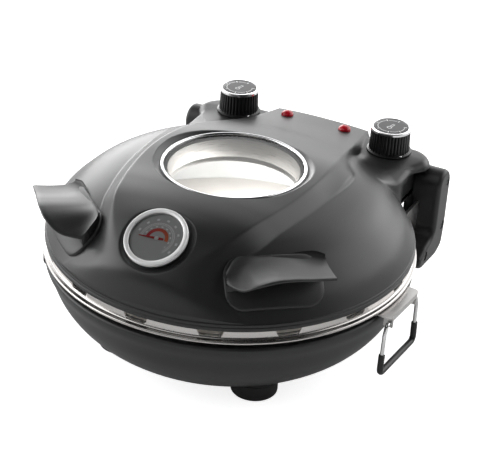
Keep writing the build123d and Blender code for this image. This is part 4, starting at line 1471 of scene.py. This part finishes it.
# degrees round from the camera to the right, degrees up, half width in degrees, strength
SOFT_PANELS = [
    (90, 30, 32, 1.4),
    (112, 6, 26, 0.5),
    (120, 30, 32, 1.2),
    (135, 6, 26, 1.9),
    (150, 30, 32, 1.4),
    (180, 6, 26, 2.0),
    (202, 6, 26, 4.9),
    (210, 30, 32, 1.2),
    (247, 6, 26, 2.9),
    (270, 6, 26, 1.8),
    (270, 30, 32, 1.9),
    (315, 52, 32, 0.6),
]
DIM = 0.03
world = bpy.data.worlds.new("studio")
bpy.context.scene.world = world
world.use_nodes = True
tree = world.node_tree
tree.nodes.clear()
out = tree.nodes.new("ShaderNodeOutputWorld")
place = add(tree, "TexCoord")
strength = DIM
for around, height, half_width, power in SOFT_PANELS:
    side = TURN + radians(around)
    level = cos(radians(height))
    facing = add(tree, "VectorMath", operation="DOT_PRODUCT")
    facing.inputs[1].default_value = (sin(side) * level, -cos(side) * level, sin(radians(height)))
    tree.links.new(place.outputs["Generated"], facing.inputs[0])
    patch = add(tree, "MapRange", interpolation_type="SMOOTHSTEP")
    patch.inputs["From Min"].default_value = cos(radians(half_width))
    patch.inputs["From Max"].default_value = cos(radians(half_width * 0.25))
    tree.links.new(facing.outputs["Value"], patch.inputs["Value"])
    strength = calc(tree, "MULTIPLY_ADD", patch.outputs["Result"], power, strength)
soft = add(tree, "Background")
tree.links.new(strength, soft.inputs["Strength"])
plain = add(tree, "Background")
for ground in (soft, plain):
    ground.inputs["Color"].default_value = (1.0, 1.0, 1.0, 1)
rays = add(tree, "LightPath")
choose = add(tree, "MixShader")
seen = calc(tree, "MAXIMUM", rays.outputs["Is Camera Ray"], rays.outputs["Is Transmission Ray"])
tree.links.new(seen, choose.inputs[0])
tree.links.new(soft.outputs[0], choose.inputs[1])
tree.links.new(plain.outputs[0], choose.inputs[2])
tree.links.new(choose.outputs[0], out.inputs["Surface"])
print(len(SOFT_PANELS), "soft panels")

# %% [markdown]
# Little light falls through the window. A small lamp over the stone, turned to the rear,
# shows the inside. It is unseen itself.

# %% Lamp inside
INSIDE_BACK = 35.0
INSIDE_HEIGHT = 48.0
INSIDE_LEAN = radians(48)
inside_data = bpy.data.lights.new("inside", "AREA")
inside_data.shape = "DISK"
inside_data.size = 0.05
inside_data.energy = 0.3
inside = bpy.data.objects.new("inside", inside_data)
inside.location = to_frame((0, INSIDE_BACK, INSIDE_HEIGHT))
inside.rotation_euler = (INSIDE_LEAN, 0, 0)
inside.visible_camera = False
inside.visible_glossy = False
bpy.context.scene.collection.objects.link(inside)

print("Inside lamp:", inside_data.energy, "W")

# %% [markdown]
# The floor is a large pale sheet. For the camera it also glows, so that it is white up to
# its edge and keeps only a faint shadow under the cooker.

# %% Floor
FLOOR_HALF = 6.0
FLOOR_GLOW = 0.82
floor_mesh = bpy.data.meshes.new("floor")
work = bmesh.new()
bmesh.ops.create_grid(work, x_segments=8, y_segments=8, size=FLOOR_HALF)
work.to_mesh(floor_mesh)
work.free()
floor = bpy.data.objects.new("floor", floor_mesh)
bpy.context.scene.collection.objects.link(floor)
floor_paint, tree, shader = new_material("floor_paint", (0.9, 0.9, 0.9), 0.9)
glow = add(tree, "Emission")
glow.inputs["Strength"].default_value = FLOOR_GLOW
lit = add(tree, "AddShader")
tree.links.new(shader.outputs[0], lit.inputs[0])
tree.links.new(glow.outputs[0], lit.inputs[1])
rays = add(tree, "LightPath")
choose = add(tree, "MixShader")
tree.links.new(rays.outputs["Is Camera Ray"], choose.inputs[0])
tree.links.new(shader.outputs[0], choose.inputs[1])
tree.links.new(lit.outputs[0], choose.inputs[2])
tree.links.new(choose.outputs[0], tree.nodes["Material Output"].inputs["Surface"])
floor_mesh.materials.append(floor_paint)

print("The floor is", round(2 * FLOOR_HALF), "m wide")

# %% [markdown]
# The camera stands to the right of the front and looks down, as it did for the photograph.
# It is level but for a small roll. Its frame is built from three directions, because
# their values were measured: back to the camera, right and up.

# %% Camera
ROLL = radians(3.317)
FOCAL_PIXELS = 1417.0
PHOTO_WIDTH = 500
SENSOR = 36.0
DISTANCE = 1.367
AIM_RIGHT = 0.018895
AIM_UP = 0.008137
back = Vector((sin(TURN) * cos(LIFT), -cos(TURN) * cos(LIFT), sin(LIFT)))
right = Vector((cos(TURN), sin(TURN), 0))
up = back.cross(right)
level_right = right.copy()
level_up = up.copy()
right = cos(ROLL) * level_right + sin(ROLL) * level_up
up = -sin(ROLL) * level_right + cos(ROLL) * level_up
middle = Vector((0, AXIS_Y, BEAD_Z)) * 0.001
spot = middle + back * DISTANCE + right * AIM_RIGHT + up * AIM_UP
camera_data = bpy.data.cameras.new("camera")
camera_data.lens = SENSOR * FOCAL_PIXELS / PHOTO_WIDTH
camera = bpy.data.objects.new("camera", camera_data)
camera.matrix_world = Matrix.Translation(spot) @ Matrix((right, up, back)).transposed().to_4x4()
bpy.context.scene.collection.objects.link(camera)
bpy.context.scene.camera = camera
bpy.context.scene.view_settings.view_transform = "Standard"

print("Camera at", [round(value, 3) for value in spot])
